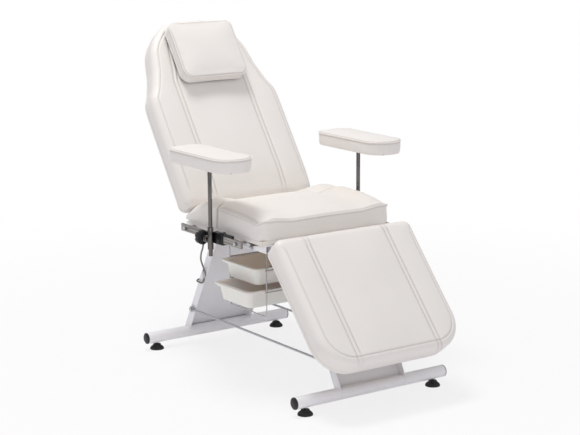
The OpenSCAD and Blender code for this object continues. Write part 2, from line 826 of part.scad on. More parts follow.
module seat_front_cushion() {
    color("ivory") seat_padding(seat_front_y, seat_split_y, front_shares);
}

module seat_rear_cushion() {
    color("ivory") seat_padding(seat_split_y + soft_gap, seat_rear_y, rear_shares);
}

module tray_rack() {
    color("silver") union() {
        both_sides() translate([rack_x, 0, 0]) rack_loop();
        for (z = [tray_upper_z, tray_lower_z]) for (dz = [-rail_wire_half, rail_wire_half])
            for (y = [hanger_front_y + wire_d - weld, hanger_rear_y - wire_d + weld])
                translate([0, y, z + dz])
                    along_x(wire_d / 2, -rack_x - wire_d / 2, rack_x + wire_d / 2);
    }
}

module rack_loop() {
    r = wire_d / 2;
    for (y = [hanger_front_y, hanger_rear_y]) translate([0, y, rack_low + rack_bend])
        cylinder(r = r, h = frame_under + rack_wire_rise - rack_low - rack_bend);
    translate([0, 0, rack_low])
        along_y(r, hanger_front_y + rack_bend, hanger_rear_y - rack_bend);
    translate([0, hanger_front_y + rack_bend, rack_low + rack_bend]) rotate([0, 90, 0])
        rotate([0, 0, -90]) rotate_extrude(angle = 90) translate([rack_bend, 0]) circle(r = r);
    translate([0, hanger_rear_y - rack_bend, rack_low + rack_bend]) rotate([0, 90, 0])
        rotate_extrude(angle = 90) translate([rack_bend, 0]) circle(r = r);
}

module rack_nuts() {
    color("silver") both_sides() for (y = [hanger_front_y, hanger_rear_y])
        for (z = [frame_under - wire_d, frame_under + tube_wall])
            translate([rack_x, y, z]) difference() {
                cylinder(r = wire_d, h = wire_d);
                translate([0, 0, -overrun])
                    cylinder(r = wire_d / 2 + fit, h = wire_d + 2 * overrun);
            }
}

module hinge_pins(y) {
    r = hinge_pin_d / 2;
    inner = panel_tube_x - tube_side / 2;
    color("silver") both_sides() translate([0, y, hinge_z]) union() {
        along_x(r, inner - pin_head_t, side_in + weld);
        along_x(bush_r, side_in, side_in + pin_head_t);
        along_x(bush_r, inner - pin_head_t - soft_gap, inner - soft_gap);
    }
}

// Bracket under the side member: base, two cheeks with the lever's pin, and a tab for the cable
module release_bracket() {
    drop = frame_under - cable_top_z + lever_tab;
    color("black") translate([lever_x, lever_y, frame_under]) difference() {
        union() {
            centred_box([lever_box[0], lever_box[1], lever_box[2]], -lever_box[2]);
            for (end = [-1, 1])
                translate([0, end * (lever_box[1] - lever_t) / 2, 0])
                    centred_box([lever_box[0], lever_t, drop], -drop);
            centred_box([lever_box[0], lever_box[1], lever_tab], -drop);
            translate([lever_pin_x, 0, lever_pin_z - frame_under])
                along_y(lever_pin_r, -lever_box[1] / 2, lever_box[1] / 2);
        }
        translate([0, 0, -drop - overrun])
            cylinder(r = cable_d / 2 + cable_gap, h = lever_tab + 2 * overrun);
    }
}

module release_lever() {
    half = lever_box[1] / 2 - lever_t - slide_gap;
    color("black") translate([lever_x, lever_y, lever_pin_z]) difference() {
        union() {
            translate([lever_pin_x, 0, 0]) along_y(lever_barrel_r, -half, half);
            translate([lever_pin_x - lever_reach, -half, -lever_t / 2])
                cube([lever_reach, 2 * half, lever_t]);
            translate([0, 0, cable_top_z - lever_pin_z + soft_gap])
                cylinder(r = lever_wire_r, h = lever_pin_z - cable_top_z - soft_gap);
        }
        translate([lever_pin_x, 0, 0]) along_y(lever_pin_r + fit, -lever_box[1], lever_box[1]);
    }
}

// Points on a smooth curve through a route, route_steps to each stretch
function route_point(p, i, t) =
    let (
        n = len(p),
        a = p[max(0, i - 1)],
        b = p[i],
        c = p[min(n - 1, i + 1)],
        d = p[min(n - 1, i + 2)]
    )
    0.5 * ((2 * b) + (c - a) * t + (2 * a - 5 * b + 4 * c - d) * t * t
        + (3 * b - a - 3 * c + d) * t * t * t);
function route_curve(p) = concat(
    [for (i = [0:len(p) - 2]) for (k = [0:route_steps - 1]) route_point(p, i, k / route_steps)],
    [p[len(p) - 1]]
);
function unit(v) = v / norm(v);
module cable_tube(route, r) {
    p = route_curve(route);
    m = len(p);
    reference = [1, -1, 0.3];
    loft([
        for (i = [0:m - 1])
            let (
                t = unit(p[min(m - 1, i + 1)] - p[max(0, i - 1)]),
                u = unit(cross(t, reference)),
                v = cross(t, u)
            )
            [for (j = [0:cable_sides - 1])
                let (a = 360 * j / cable_sides)
                    p[i] + r * (cos(a) * u + sin(a) * v)]
    ], symmetric = false);
}

module release_cable() {
    color("dimgray") {
        cable_tube(upper_route, cable_d / 2);
        cable_tube(lower_route, cable_d / 2);
    }
}

// Adjuster between the two lengths of cable, with a foot on the outside of the leg's flange
module cable_ferrule() {
    h = ferrule_z[1] - ferrule_z[0];
    foot = -leg_w / 2 - ferrule_at[0];
    color("silver") translate([ferrule_at[0], ferrule_at[1], ferrule_z[0]]) union() {
        cylinder(r = ferrule_r, h = h);
        translate([foot - ferrule_foot_t, -ferrule_r, h / 4])
            cube([ferrule_foot_t, 4 * ferrule_r, h / 2]);
        translate([0, 2 * ferrule_r, h / 2])
            along_x(bolt_r, foot - ferrule_foot_t - washer_h, foot - ferrule_foot_t + weld);
    }
}

module at_rear_leg() {
    translate([0, leg_foot_y, foot_tube_z]) rotate([leg_lean, 0, 0]) children();
}

module spring_bracket() {
    color("whitesmoke") at_rear_leg() translate([0, 0, spring_low_leg[1]]) difference() {
        union() {
            translate([-bracket_w / 2, leg_depth / 2, -bracket_h / 2])
                cube([bracket_w, bracket_plate, bracket_h]);
            both_sides() {
                translate([spring_ear_x, leg_depth / 2 + bracket_plate - weld, -bracket_r])
                    cube([spring_ear_t, spring_low_leg[0] - leg_depth / 2 - bracket_plate + weld,
                          2 * bracket_r]);
                translate([0, spring_low_leg[0], 0])
                    along_x(bracket_r, spring_ear_x, spring_ear_x + spring_ear_t);
            }
        }
        translate([0, spring_low_leg[0], 0]) along_x(spring_pin_r + fit, -bracket_w, bracket_w);
    }
}

module spring_pins() {
    half = spring_ear_x + spring_ear_t;
    color("silver") {
        translate([0, spring_low[0], spring_low[1]]) union() {
            along_x(spring_pin_r, -half - overrun, half + overrun);
            both_sides() along_x(spring_pin_r + pin_rim, half, half + 2 * overrun);
        }
        translate([0, strut_low[0], strut_low[1]]) union() {
            along_x(strut_pin_r, strut_x - strut_eye_half - washer_h, side_in + strut_hanger_t
                    + overrun);
            along_x(strut_pin_r + pin_rim, side_in + strut_hanger_t, side_in + strut_hanger_t + washer_h);
            along_x(strut_pin_r + pin_rim, strut_x - strut_eye_half - 2 * washer_h,
                    strut_x - strut_eye_half - washer_h);
        }
    }
}

// Tubes of the back or leg-rest frame, in its own frame with y along it from the hinge
module panel_frame(tube_end, cross_ys) {
    both_sides() translate([panel_tube_x, 0, 0]) difference() {
        union() {
            tube_along_y(-panel_tube_root, tube_end);
            along_x(bush_r, -tube_side / 2, tube_side / 2);
        }
        along_x(hinge_pin_d / 2 + fit, -tube_side, tube_side);
    }
    for (y = cross_ys) translate([0, y, 0])
        tube_along_x(-panel_tube_x + tube_side / 2 - weld, panel_tube_x - tube_side / 2 + weld);
}

module back_frame() {
    color("whitesmoke") on_back() union() {
        panel_frame(back_tube_end, back_cross_ys);
        both_sides() difference() {
            translate([spring_ear_x, spring_up_y, 0]) union() {
                translate([0, -spring_ear_r, spring_up_z])
                    cube([spring_ear_t, 2 * spring_ear_r, -spring_up_z - tube_side / 2 + weld]);
                translate([0, 0, spring_up_z]) along_x(spring_ear_r, 0, spring_ear_t);
            }
            translate([0, spring_up_y, spring_up_z]) along_x(spring_hole_r, 0, 2 * spring_ear_r);
        }
    }
}

module back_board() {
    color("burlywood") on_back() translate([0, back_start, tube_side / 2])
        panel_board(back_ys, back_ws, board_t);
}

module back_cushion() {
    color("ivory") on_back() translate([0, back_start, tube_side / 2])
        panel_padding(back_ys, back_ws, back_channel_x);
}

module pillow() {
    base = tube_side / 2 + cushion_t + crown + soft_gap;
    color("ivory") on_back() translate([0, pillow_start, base]) loft([
        for (y = round_ys(pillow_len, pillow_corner_r, pillow_corner_r, corner_steps, []))
            let (
                d = min(y, pillow_len - y),
                w = pillow_half_w - corner_in(d, pillow_corner_r),
                top = pillow_t - corner_in(d, pillow_rim) - crown
            )
            ring([
                [w - tuck, 0], [w, top * pillow_side_shares[0]],
                [w - tuck / 2, top * pillow_side_shares[1]], [w, top * pillow_side_shares[2]],
                [w - pillow_rim / 2, top],
                [w * pillow_top_share, top + crown * pillow_crown_share], [0, top + crown]
            ], y)
    ]);
}

module legrest_frame() {
    color("whitesmoke") on_legrest() scale([1, -1, 1]) union() {
        panel_frame(legrest_tube_end, legrest_cross_ys);
        difference() {
            translate([panel_tube_x - tube_side / 2 - strut_plate_t, strut_up_y, 0]) union() {
                translate([0, -strut_plate_r, strut_up_z])
                    cube([strut_plate_t, 2 * strut_plate_r, -strut_up_z + tube_side / 2]);
                translate([0, 0, strut_up_z]) along_x(strut_plate_r, 0, strut_plate_t);
            }
            translate([0, strut_up_y, strut_up_z]) along_x(strut_hole_r, strut_x, panel_tube_x);
        }
    }
}

module legrest_board() {
    color("burlywood") on_legrest() scale([1, -1, 1]) translate([0, legrest_start, tube_side / 2])
        panel_board(legrest_ys, legrest_ws, board_t);
}

module legrest_cushion() {
    color("ivory") on_legrest() scale([1, -1, 1]) translate([0, legrest_start, tube_side / 2])
        panel_padding(legrest_ys, legrest_ws, legrest_channel_x);
}

module clamp(side) {
    top = rail_z + rail_h / 2 + slide_gap;
    low = rail_z - rail_h / 2 - slide_gap;
    in = rail_in - slide_gap;
    out = rail_out + slide_gap;
    wide = out + clamp_wall_out - in + clamp_wall_in;
    color("dimgray") scale([side, 1, 1]) difference() {
        union() {
            translate([in - clamp_wall_in, clamp_front, low - clamp_top])
                cube([wide, clamp_rear - clamp_front, top - low + 2 * clamp_top]);
            for (x = [in - clamp_wall_in, out])
                translate([x, cam_y, top + cam_r + soft_gap])
                    along_x(cam_boss_r, 0, x > in ? clamp_wall_out : clamp_wall_in);
        }
        translate([in, clamp_front - overrun, low])
            cube([out - in, clamp_rear - clamp_front + 2 * overrun, top - low]);
        translate([in, clamp_front - overrun, low])
            cube([out - in, cam_y + 3 * cam_r - clamp_front, top - low + 3 * clamp_top]);
        translate([0, cam_y, top + cam_r + soft_gap])
            along_x(cam_pin_r + fit, in - 2 * clamp_wall_in, out + 2 * clamp_wall_out);
        for (k = [1:clamp_rib_n])
            translate([out + clamp_wall_out - clamp_rib_d,
                       clamp_front + k * 2 * clamp_rib_w, low - 2 * clamp_top])
                cube([clamp_rib_d + overrun, clamp_rib_w, rail_h * 2]);
    }
}

// Split sleeve round the post, with two ears outside that the knob's screw pinches
module sleeve(side) {
    color("silver") scale([side, 1, 1]) difference() {
        union() {
            translate([post_x, post_y, sleeve_low])
                cylinder(r = sleeve_r, h = sleeve_high - sleeve_low);
            translate([post_x, post_y - ear_t / 2, rail_z - ear_h / 2])
                cube([ear_reach, ear_t, ear_h]);
        }
        translate([post_x, post_y, sleeve_low - overrun])
            cylinder(r = post_d / 2 + fit, h = sleeve_high - sleeve_low + 2 * overrun);
        translate([post_x, post_y - ear_slot / 2, sleeve_low - overrun])
            cube([ear_reach + overrun, ear_slot, sleeve_high - sleeve_low + 2 * overrun]);
        translate([knob_x, 0, rail_z]) along_y(screw_r + fit, post_y - ear_t, post_y + ear_t);
    }
}

module knob(side) {
    y0 = post_y + ear_t / 2;
    y1 = y0 + knob_hub_len;
    color("black") scale([side, 1, 1]) translate([knob_x, 0, rail_z]) difference() {
        union() {
            along_y(screw_r, post_y - ear_t / 2 - overrun, y0 + weld);
            along_y(knob_hub_r, y0 + slide_gap, y1 + weld);
            along_y(knob_d / 2, y1, y1 + knob_t);
        }
        for (k = [0:knob_lobes - 1]) rotate([0, k * 360 / knob_lobes, 0])
            translate([knob_d / 2 + knob_lobe_r * knob_lobe_share, 0, 0])
                along_y(knob_lobe_r, y1 - overrun, y1 + knob_t + overrun);
    }
}

module clamp_lever(side) {
    z = rail_z + rail_h / 2 + slide_gap + cam_r + soft_gap;
    mid = (rail_in + rail_out) / 2;
    in = rail_in - slide_gap - clamp_wall_in;
    out = rail_out + slide_gap + clamp_wall_out;
    color("black") scale([side, 1, 1]) translate([0, cam_y, z]) union() {
        translate([mid, 0, 0]) along_x(cam_r, -cam_lever_w / 2, cam_lever_w / 2);
        translate([mid - cam_lever_w / 2, -cam_lever_reach, -cam_r])
            cube([cam_lever_w, cam_lever_reach, 2 * cam_r]);
        along_x(cam_pin_r, in, out);
    }
}

module post(side) {
    color("silver") translate([side * post_x, post_y, post_low])
        cylinder(r = post_d / 2, h = pad_z + pad_bore - overrun - post_low);
}

// Board under an armrest pad, with the blind bore for the top of the post
module pad_board(side) {
    color("burlywood") translate([side * post_x, post_y, pad_z]) difference() {
        translate([0, -pad_front, 0]) panel_board(pad_ys, pad_ws, pad_board_t);
        translate([0, 0, -overrun]) cylinder(r = post_d / 2 + fit, h = pad_bore + overrun);
    }
}

module pad(side) {
    t = pad_t - pad_board_t;
    color("ivory") translate([side * post_x, post_y - pad_front, pad_z + pad_board_t]) loft([
        for (i = [0:len(pad_ys) - 1])
            let (w = pad_ws[i])
            ring([
                [w - pad_seam, 0], [w - pad_seam / 4, t * pad_height_shares[0]],
                [w, t * pad_height_shares[1]], [w - pad_seam, t * pad_height_shares[2]],
                [w / 2, t * pad_height_shares[3]], [0, t]
            ], pad_ys[i])
    ]);
}

module rounded_sheet(l, w, r) {
    hull() for (x = [-1, 1]) for (y = [-1, 1])
        translate([x * (l / 2 - r), y * (w / 2 - r)]) circle(r = r, $fn = 32);
}

module tray(z, out) {
    band_l = tray_len - 2 * tray_band;
    band_w = tray_w - 2 * tray_band;
    body_h = tray_h - tray_rim_t - tray_band_h;
    body_l = band_l - 2 * tray_band;
    body_w = band_w - 2 * tray_band;
    taper = [(body_l - 2 * tray_draft) / body_l, (body_w - 2 * tray_draft) / body_w];
    well_l = body_l - 2 * tray_wall;
    well_w = body_w - 2 * tray_wall;
    well_taper = [(well_l - 2 * tray_draft) / well_l, (well_w - 2 * tray_draft) / well_w];
    color("oldlace") translate([-out, tray_mid_y, z]) difference() {
        union() {
            translate([0, 0, -tray_rim_t / 2]) linear_extrude(tray_rim_t)
                rounded_sheet(tray_len, tray_w, tray_r);
            translate([0, 0, -tray_rim_t / 2 - tray_band_h]) linear_extrude(tray_band_h + weld)
                rounded_sheet(band_l, band_w, tray_r);
            translate([0, 0, -tray_rim_t / 2 - tray_band_h + weld]) scale([1, 1, -1])
                linear_extrude(body_h + weld, scale = taper, slices = 1)
                    rounded_sheet(body_l, body_w, tray_r);
        }
        translate([0, 0, tray_rim_t / 2 + overrun]) scale([1, 1, -1])
            linear_extrude(tray_h - tray_wall + overrun, scale = well_taper, slices = 1)
                rounded_sheet(well_l, well_w, tray_r);
    }
}

// Children drawn along the back spring from its lower pivot, with +Z up the spring
module along_spring() {
    translate([0, spring_low[0], spring_low[1]]) rotate([spring_angle - 90, 0, 0]) children();
}

module back_spring_rod() {
    color("silver") along_spring() difference() {
        union() {
            along_x(spring_eye_r, -spring_ear_x + spring_eye_gap, spring_ear_x - spring_eye_gap);
            centred_box([2 * (spring_ear_x - spring_eye_gap), 2 * spring_eye_r, spring_head]);
            cylinder(r = spring_rod_r, h = spring_rod_len);
            translate([0, 0, spring_rod_len - spring_piston])
                cylinder(r = spring_d / 2 - spring_wall - piston_gap, h = spring_piston);
        }
        along_x(spring_pin_r + fit, -2 * spring_ear_x, 2 * spring_ear_x);
    }
}

module back_spring_cylinder() {
    bottom = spring_bottom;
    top = spring_len + spring_past_pivot;
    half = spring_ear_x + spring_ear_t + soft_gap;
    color("black") along_spring() difference() {
        union() {
            translate([0, 0, bottom]) cylinder(r = spring_d / 2, h = top - bottom);
            translate([0, 0, spring_len]) {
                along_x(spring_eye_r + overrun, -spring_ear_x + overrun, spring_ear_x - overrun);
                along_x(spring_cross_r, -half - washer_h, half + washer_h);
                both_sides() along_x(spring_washer_r, half, half + washer_h);
            }
        }
        translate([0, 0, bottom + spring_gland])
            cylinder(r = spring_d / 2 - spring_wall,
                     h = top - bottom - spring_gland - spring_cap);
        translate([0, 0, bottom - overrun])
            cylinder(r = spring_rod_r + fit, h = spring_gland + 2 * overrun);
    }
}

module along_strut() {
    translate([strut_x, strut_low[0], strut_low[1]]) rotate([strut_angle - 90, 0, 0]) children();
}

module strut_cylinder() {
    color("black") along_strut() difference() {
        union() {
            along_x(strut_eye_r, -strut_eye_half, strut_eye_half);
            translate([0, 0, strut_pin_r]) cylinder(r = strut_eye_half, h = strut_eye_r);
            translate([0, 0, strut_eye_r]) cylinder(r = strut_d / 2, h = strut_body_end - strut_eye_r);
        }
        along_x(strut_pin_r + fit, -strut_d, strut_d);
        translate([0, 0, 2 * strut_eye_r])
            cylinder(r = strut_rod_r + fit, h = strut_body_end);
    }
}

module strut_rod() {
    plate_in = panel_tube_x - tube_side / 2 - strut_plate_t - strut_x;
    color("silver") along_strut() union() {
        translate([0, 0, strut_len - strut_rod_len]) cylinder(r = strut_rod_r, h = strut_rod_len);
        translate([0, 0, strut_len]) {
            along_x(strut_eye_r, -strut_eye_half, plate_in - washer_h - soft_gap - weld);
            along_x(strut_cross_r, 0, plate_in + strut_plate_t + soft_gap + washer_h);
            along_x(strut_washer_r, plate_in - washer_h - soft_gap, plate_in - soft_gap);
            translate([strut_plate_t + soft_gap, 0, 0])
                along_x(strut_washer_r, plate_in, plate_in + washer_h);
        }
    }
}

module placed() {
    translate([0, origin_shift, 0]) children();
}

placed() foot_tube(1);  // rear_foot_tube
placed() foot_tube(-1);  // front_foot_tube
placed() tube_caps();
placed() levelling_foot(-1, 1);  // foot_1
placed() levelling_foot(1, 1);  // foot_2
placed() levelling_foot(-1, -1);  // foot_3
placed() levelling_foot(1, -1);  // foot_4
placed() leg(1);  // rear_leg
placed() leg(-1);  // front_leg
placed() tie_rod(-1);  // tie_rod_left
placed() tie_rod(1);  // tie_rod_right
placed() rod_bolts();
placed() leg_bolts();
placed() seat_frame();
placed() frame_end_sleeves();
placed() rail(-1);  // rail_left
placed() rail(1);  // rail_right
placed() rail_bolts();
placed() side_bolts();
placed() seat_board();
placed() seat_front_cushion();
placed() seat_rear_cushion();
placed() tray_rack();
placed() rack_nuts();
placed() hinge_pins(back_hinge_y);  // back_hinge_pins
placed() hinge_pins(legrest_hinge_y);  // legrest_hinge_pins
placed() release_bracket();
placed() release_cable();
placed() cable_ferrule();
placed() spring_bracket();
placed() spring_pins();
placed() back_frame();
placed() back_board();
placed() back_cushion();
placed() pillow();
placed() legrest_frame();
placed() legrest_board();
placed() legrest_cushion();
placed() clamp(-1);  // clamp_left
placed() clamp(1);  // clamp_right
placed() sleeve(-1);  // sleeve_left
placed() sleeve(1);  // sleeve_right
placed() clamp_lever(-1);  // clamp_lever_left
placed() clamp_lever(1);  // clamp_lever_right
placed() knob(-1);  // knob_left
placed() knob(1);  // knob_right
placed() post(-1);  // post_left
placed() post(1);  // post_right
placed() pad_board(-1);  // pad_board_left
placed() pad_board(1);  // pad_board_right
placed() pad(-1);  // pad_left
placed() pad(1);  // pad_right
placed() tray(tray_upper_z, tray_upper_out);  // tray_upper
placed() tray(tray_lower_z, tray_lower_out);  // tray_lower
placed() back_spring_rod();
placed() back_spring_cylinder();
placed() strut_cylinder();
placed() strut_rod();
placed() release_lever();
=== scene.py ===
# %% [markdown]
# # A podiatry chair, dressed for its picture
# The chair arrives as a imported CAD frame: tubes, legs, rails, trays and plain cushion solids.
# This file gives each visible surface its real finish, and sews new cushions in place of the
# plain ones. Every piece stays in the frame's own place and size, in metres.

# %% Load the frame
import math
import bpy
import bmesh
import numpy as np
from mathutils import Matrix, Vector, kdtree
from mathutils.bvhtree import BVHTree
from mathutils.geometry import delaunay_2d_cdt


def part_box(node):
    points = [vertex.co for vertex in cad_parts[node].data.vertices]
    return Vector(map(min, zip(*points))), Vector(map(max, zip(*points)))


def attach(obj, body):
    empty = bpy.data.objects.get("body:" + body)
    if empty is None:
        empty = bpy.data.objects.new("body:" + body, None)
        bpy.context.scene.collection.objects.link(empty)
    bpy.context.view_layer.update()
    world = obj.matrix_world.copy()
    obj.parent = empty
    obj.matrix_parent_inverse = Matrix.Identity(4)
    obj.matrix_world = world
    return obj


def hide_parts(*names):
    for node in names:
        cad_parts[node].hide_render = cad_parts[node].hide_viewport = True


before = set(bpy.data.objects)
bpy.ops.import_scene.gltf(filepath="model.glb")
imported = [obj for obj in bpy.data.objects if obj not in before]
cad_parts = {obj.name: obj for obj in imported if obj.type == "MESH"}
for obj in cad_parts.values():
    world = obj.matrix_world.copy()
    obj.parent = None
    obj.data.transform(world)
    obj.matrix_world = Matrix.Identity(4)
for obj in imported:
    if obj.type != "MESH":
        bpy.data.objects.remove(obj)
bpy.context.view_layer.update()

# %% [markdown]
# ## Places on the chair
# The makers of such a chair measure from the middle of its feet, so the file does too. Lengths
# are written in millimetres and turned to metres once, when a mesh is made. The back and the
# leg rest have frames of their own: y runs away from the hinge, and z stands on the panel.

# %% Measuring frames
MM = 0.001
feet = [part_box(n) for n in ("rear_foot_tube", "front_foot_tube")]
FEET_MIDDLE_Y = sum(low.y + high.y for low, high in feet) / 4
HINGE_Z, BACK_HINGE_Y, LEGREST_HINGE_Y = 487.5, 264.0, -245.4
BACK_ANGLE, LEGREST_ANGLE = (math.radians(a) for a in (55.3, 48.5))

CHAIR = Matrix.Translation((0, FEET_MIDDLE_Y, 0)) @ Matrix.Scale(MM, 4)
BACK = (CHAIR @ Matrix.Translation((0, BACK_HINGE_Y, HINGE_Z))
        @ Matrix.Rotation(BACK_ANGLE, 4, "X"))
LEGREST = (CHAIR @ Matrix.Translation((0, LEGREST_HINGE_Y, HINGE_Z))
           @ Matrix.Rotation(LEGREST_ANGLE, 4, "X") @ Matrix.Scale(-1, 4, (0, 1, 0)))
print("middle of the feet at y", round(FEET_MIDDLE_Y, 4))


def moved(points, matrix):
    """Points in millimetres, carried into metres by a measuring frame"""
    m = np.array(matrix)
    return np.asarray(points, float) @ m[:3, :3].T + m[:3, 3]


# %% [markdown]
# ## The camera
# The photographer stood about 5 m away, a little above the seat, with a long lens. The chair is
# seen from its front left. The angles were found by matching feet, posts and panel edges.


# %% Scene helper
def in_scene(name, data):
    """An object for a mesh, curve, lamp or camera, linked to the scene"""
    made = bpy.data.objects.new(name, data)
    bpy.context.scene.collection.objects.link(made)
    return made


# %% Camera
YAW, PITCH, ROLL = (math.radians(a) for a in (-34.87, 11.6, -0.31))
LENS, SENSOR = 100.96, 36.0
CAMERA_PLACE = (-3092.8, -4447.2, 1637.8)
back = Vector((math.sin(YAW) * math.cos(PITCH), -math.cos(YAW) * math.cos(PITCH), math.sin(PITCH)))
right = (-back).cross(Vector((0, 0, 1))).normalized()
up = right.cross(-back)
right, up = (right * math.cos(ROLL) + up * math.sin(ROLL),
             up * math.cos(ROLL) - right * math.sin(ROLL))
camera_data = bpy.data.cameras.new("camera")
camera_data.lens, camera_data.sensor_width = LENS, SENSOR
camera = in_scene("camera", camera_data)
camera.matrix_world = Matrix.Translation(CHAIR @ Vector(CAMERA_PLACE)) @ Matrix(
    (right, up, back)).transposed().to_4x4()
bpy.context.scene.camera = camera
bpy.context.scene.view_settings.view_transform = "Standard"
print("camera at", CAMERA_PLACE, "mm, lens", LENS)

# %% [markdown]
# ## The release cable
# A Bowden cable runs from the release bracket under the seat down into its ferrule on the rear
# leg, turns close round the leg's edge, and rises to the valve of the gas spring. It is stiff and
# held at both ends and at the ferrule, so its way is given. A curve with a round bevel is the
# plainest way to make it, since the thickness and the way stay apart.

# %% Release cable
CABLE_WAY = [
    (-237, 170, 446), (-237, 170, 432), (-228, 190, 412), (-212, 224, 390), (-186, 270, 356),
    (-160, 304, 328), (-146, 321, 314), (-138, 329, 304), (-138, 329, 296.3),
    (-138, 329, 283), (-138, 329, 269.7), (-138, 329.9, 263.6), (-138, 332.9, 257.2),
    (-138, 338, 251.8), (-138, 345, 248.7), (-138, 353, 247.8), (-138, 361, 248),
    (-138, 370, 248.3), (-136.2, 378.2, 248.8), (-131, 384.9, 249.5), (-123.5, 388.8, 250.6),
    (-114.5, 389.5, 252.5), (-103, 388.8, 256), (-90, 387, 261.5), (-74, 384.5, 270),
    (-57, 381, 281), (-41, 378, 291.5), (-26, 375.6, 298), (-12.6, 375, 299)]
CABLE_THICK = 6


def smooth_way(points, steps=6):
    """A rounder line through the points, by Catmull and Rom's rule"""
    p = np.asarray(points, float)
    p = np.vstack([2 * p[0] - p[1], p, 2 * p[-1] - p[-2]])
    line = []
    for i in range(1, len(p) - 2):
        for k in range(steps):
            t = k / steps
            line.append(0.5 * (2 * p[i] + (p[i + 1] - p[i - 1]) * t
                               + (2 * p[i - 1] - 5 * p[i] + 4 * p[i + 1] - p[i + 2]) * t * t
                               + (3 * p[i] - p[i - 1] - 3 * p[i + 1] + p[i + 2]) * t ** 3))
    return np.array(line + [p[-2]])


cable_line = moved(smooth_way(CABLE_WAY), CHAIR)
cable_curve = bpy.data.curves.new("release_cable_sheath", "CURVE")
cable_curve.dimensions, cable_curve.bevel_depth = "3D", 1  # times each point's radius
cable_curve.bevel_resolution, cable_curve.use_fill_caps = 4, True
strand = cable_curve.splines.new("POLY")
strand.points.add(len(cable_line) - 1)
for point, place in zip(strand.points, cable_line):
    point.co, point.radius = (*place, 1), CABLE_THICK / 2 * MM
cable = in_scene("release_cable_sheath", cable_curve)
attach(cable, "base")
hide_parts("release_cable")

# %% [markdown]
# ## Materials, from what each part really is
# A finish is a small graph of nodes. Colours are read off as sRGB hex values and turned to the
# linear light that the renderer adds up. One helper adds a node with its settings and links.


# %% Colour and node helpers
def linear(hex_colour):
    """sRGB hex, such as 'EAE6E2', to linear RGBA"""
    parts = [int(hex_colour[i:i + 2], 16) / 255 for i in (0, 2, 4)]
    parts = [c / 12.92 if c <= 0.04045 else ((c + 0.055) / 1.055) ** 2.4 for c in parts]
    return (*parts, 1.0)


def add(tree, kind, links=None, **settings):
    """One node. A setting names a property, or an input socket when it ends in _in; links maps
    an input's name or number to an output socket."""
    node = tree.nodes.new("ShaderNode" + kind)
    for key, value in settings.items():
        if key.endswith("_in"):
            name = key[:-3].replace("_", " ")
            sockets = [s for s in node.inputs if s.name.lower() == name.lower() and s.enabled]
            (sockets or [node.inputs[name]])[0].default_value = value
        else:
            setattr(node, key, value)
    for key, output in (links or {}).items():
        tree.links.new(output, node.inputs[key])
    return node


def finish_of(name, **surface):
    """A new material with its shader's plain values set. Gives it, its tree and its shader."""
    material = bpy.data.materials.new(name)
    material.use_nodes = True
    tree = material.node_tree
    shader = tree.nodes["Principled BSDF"]
    for key, value in surface.items():
        shader.inputs[key.replace("_", " ").title().replace("Ior", "IOR")].default_value = value
    return material, tree, shader


def patches(tree, place, colour, second, patch_mm, detail):
    """Two shades of a colour, in soft patches of about patch_mm"""
    tone = add(tree, "TexNoise", {"Vector": place}, scale_in=1 / (patch_mm * MM), detail_in=detail)
    mix = add(tree, "Mix", data_type="RGBA", links={0: tone.outputs["Fac"]})
    mix.inputs[6].default_value, mix.inputs[7].default_value = linear(colour), linear(second)
    return mix.outputs[2]


def toned_skin(name, colour, second, grit_mm, raised, grit_detail=2.0, deep_mm=0.1, patch_mm=40,
               patch_detail=2.0, **surface):
    """A coat, a moulding or a plain cloth: two shades in soft patches under a skin of fine grit"""
    material, tree, shader = finish_of(name, ior=1.5, **surface)
    place = add(tree, "TexCoord").outputs["Object"]
    tone = patches(tree, place, colour, second, patch_mm, patch_detail)
    tree.links.new(tone, shader.inputs["Base Color"])
    grit = add(tree, "TexNoise", {"Vector": place}, scale_in=1 / (grit_mm * MM),
               detail_in=grit_detail)
    bump = add(tree, "Bump", {"Height": grit.outputs["Fac"]}, strength_in=raised,
               distance_in=deep_mm * MM)
    tree.links.new(bump.outputs["Normal"], shader.inputs["Normal"])
    return material


# %% [markdown]
# ### PVC leatherette
# The cover is a knitted cloth coated with soft PVC and embossed with a fine hide grain of about
# 1 mm. It shines softly, never sharply. Hands and light have warmed it unevenly. Each cushion
# carries a painted value, seam, that darkens it as painted shade in its seams, the creases under
# its piping and the gaps under its edges.

# %% Leatherette
GRAIN_MM, CREASE_MM, TONE_MM = 1.1, 5.0, 130.0


def leatherette(name, light, warm, shade_colour):
    material, tree, shader = finish_of(name, ior=1.5, roughness=0.5, coat_weight=0.08,
                                       coat_roughness=0.35)
    place = add(tree, "TexCoord").outputs["Object"]
    blend = patches(tree, place, light, warm, TONE_MM, 2.0)
    # seam is painted shade: the colour darkens towards shade_colour in seams, creases and gaps
    seam = add(tree, "Attribute", attribute_name="seam")
    shade = add(tree, "Mix", data_type="RGBA", links={0: seam.outputs["Fac"], 6: blend})
    shade.inputs[7].default_value = linear(shade_colour)
    tree.links.new(shade.outputs[2], shader.inputs["Base Color"])
    cells = add(tree, "TexVoronoi", {"Vector": place}, feature="DISTANCE_TO_EDGE",
                scale_in=1 / (GRAIN_MM * MM))
    pores = add(tree, "MapRange", {"Value": cells.outputs["Distance"]}, from_max_in=0.25)
    folds = add(tree, "TexNoise", {"Vector": place}, scale_in=1 / (CREASE_MM * MM), detail_in=3.0)
    rough = add(tree, "MapRange", {"Value": folds.outputs["Fac"]}, to_min_in=0.44, to_max_in=0.56)
    tree.links.new(rough.outputs["Result"], shader.inputs["Roughness"])
    fine = add(tree, "Bump", {"Height": pores.outputs["Result"]}, strength_in=0.16,
               distance_in=0.12 * MM)
    wide = add(tree, "Bump", {"Height": folds.outputs["Fac"], "Normal": fine.outputs["Normal"]},
               strength_in=0.10, distance_in=0.5 * MM)
    tree.links.new(wide.outputs["Normal"], shader.inputs["Normal"])
    return material
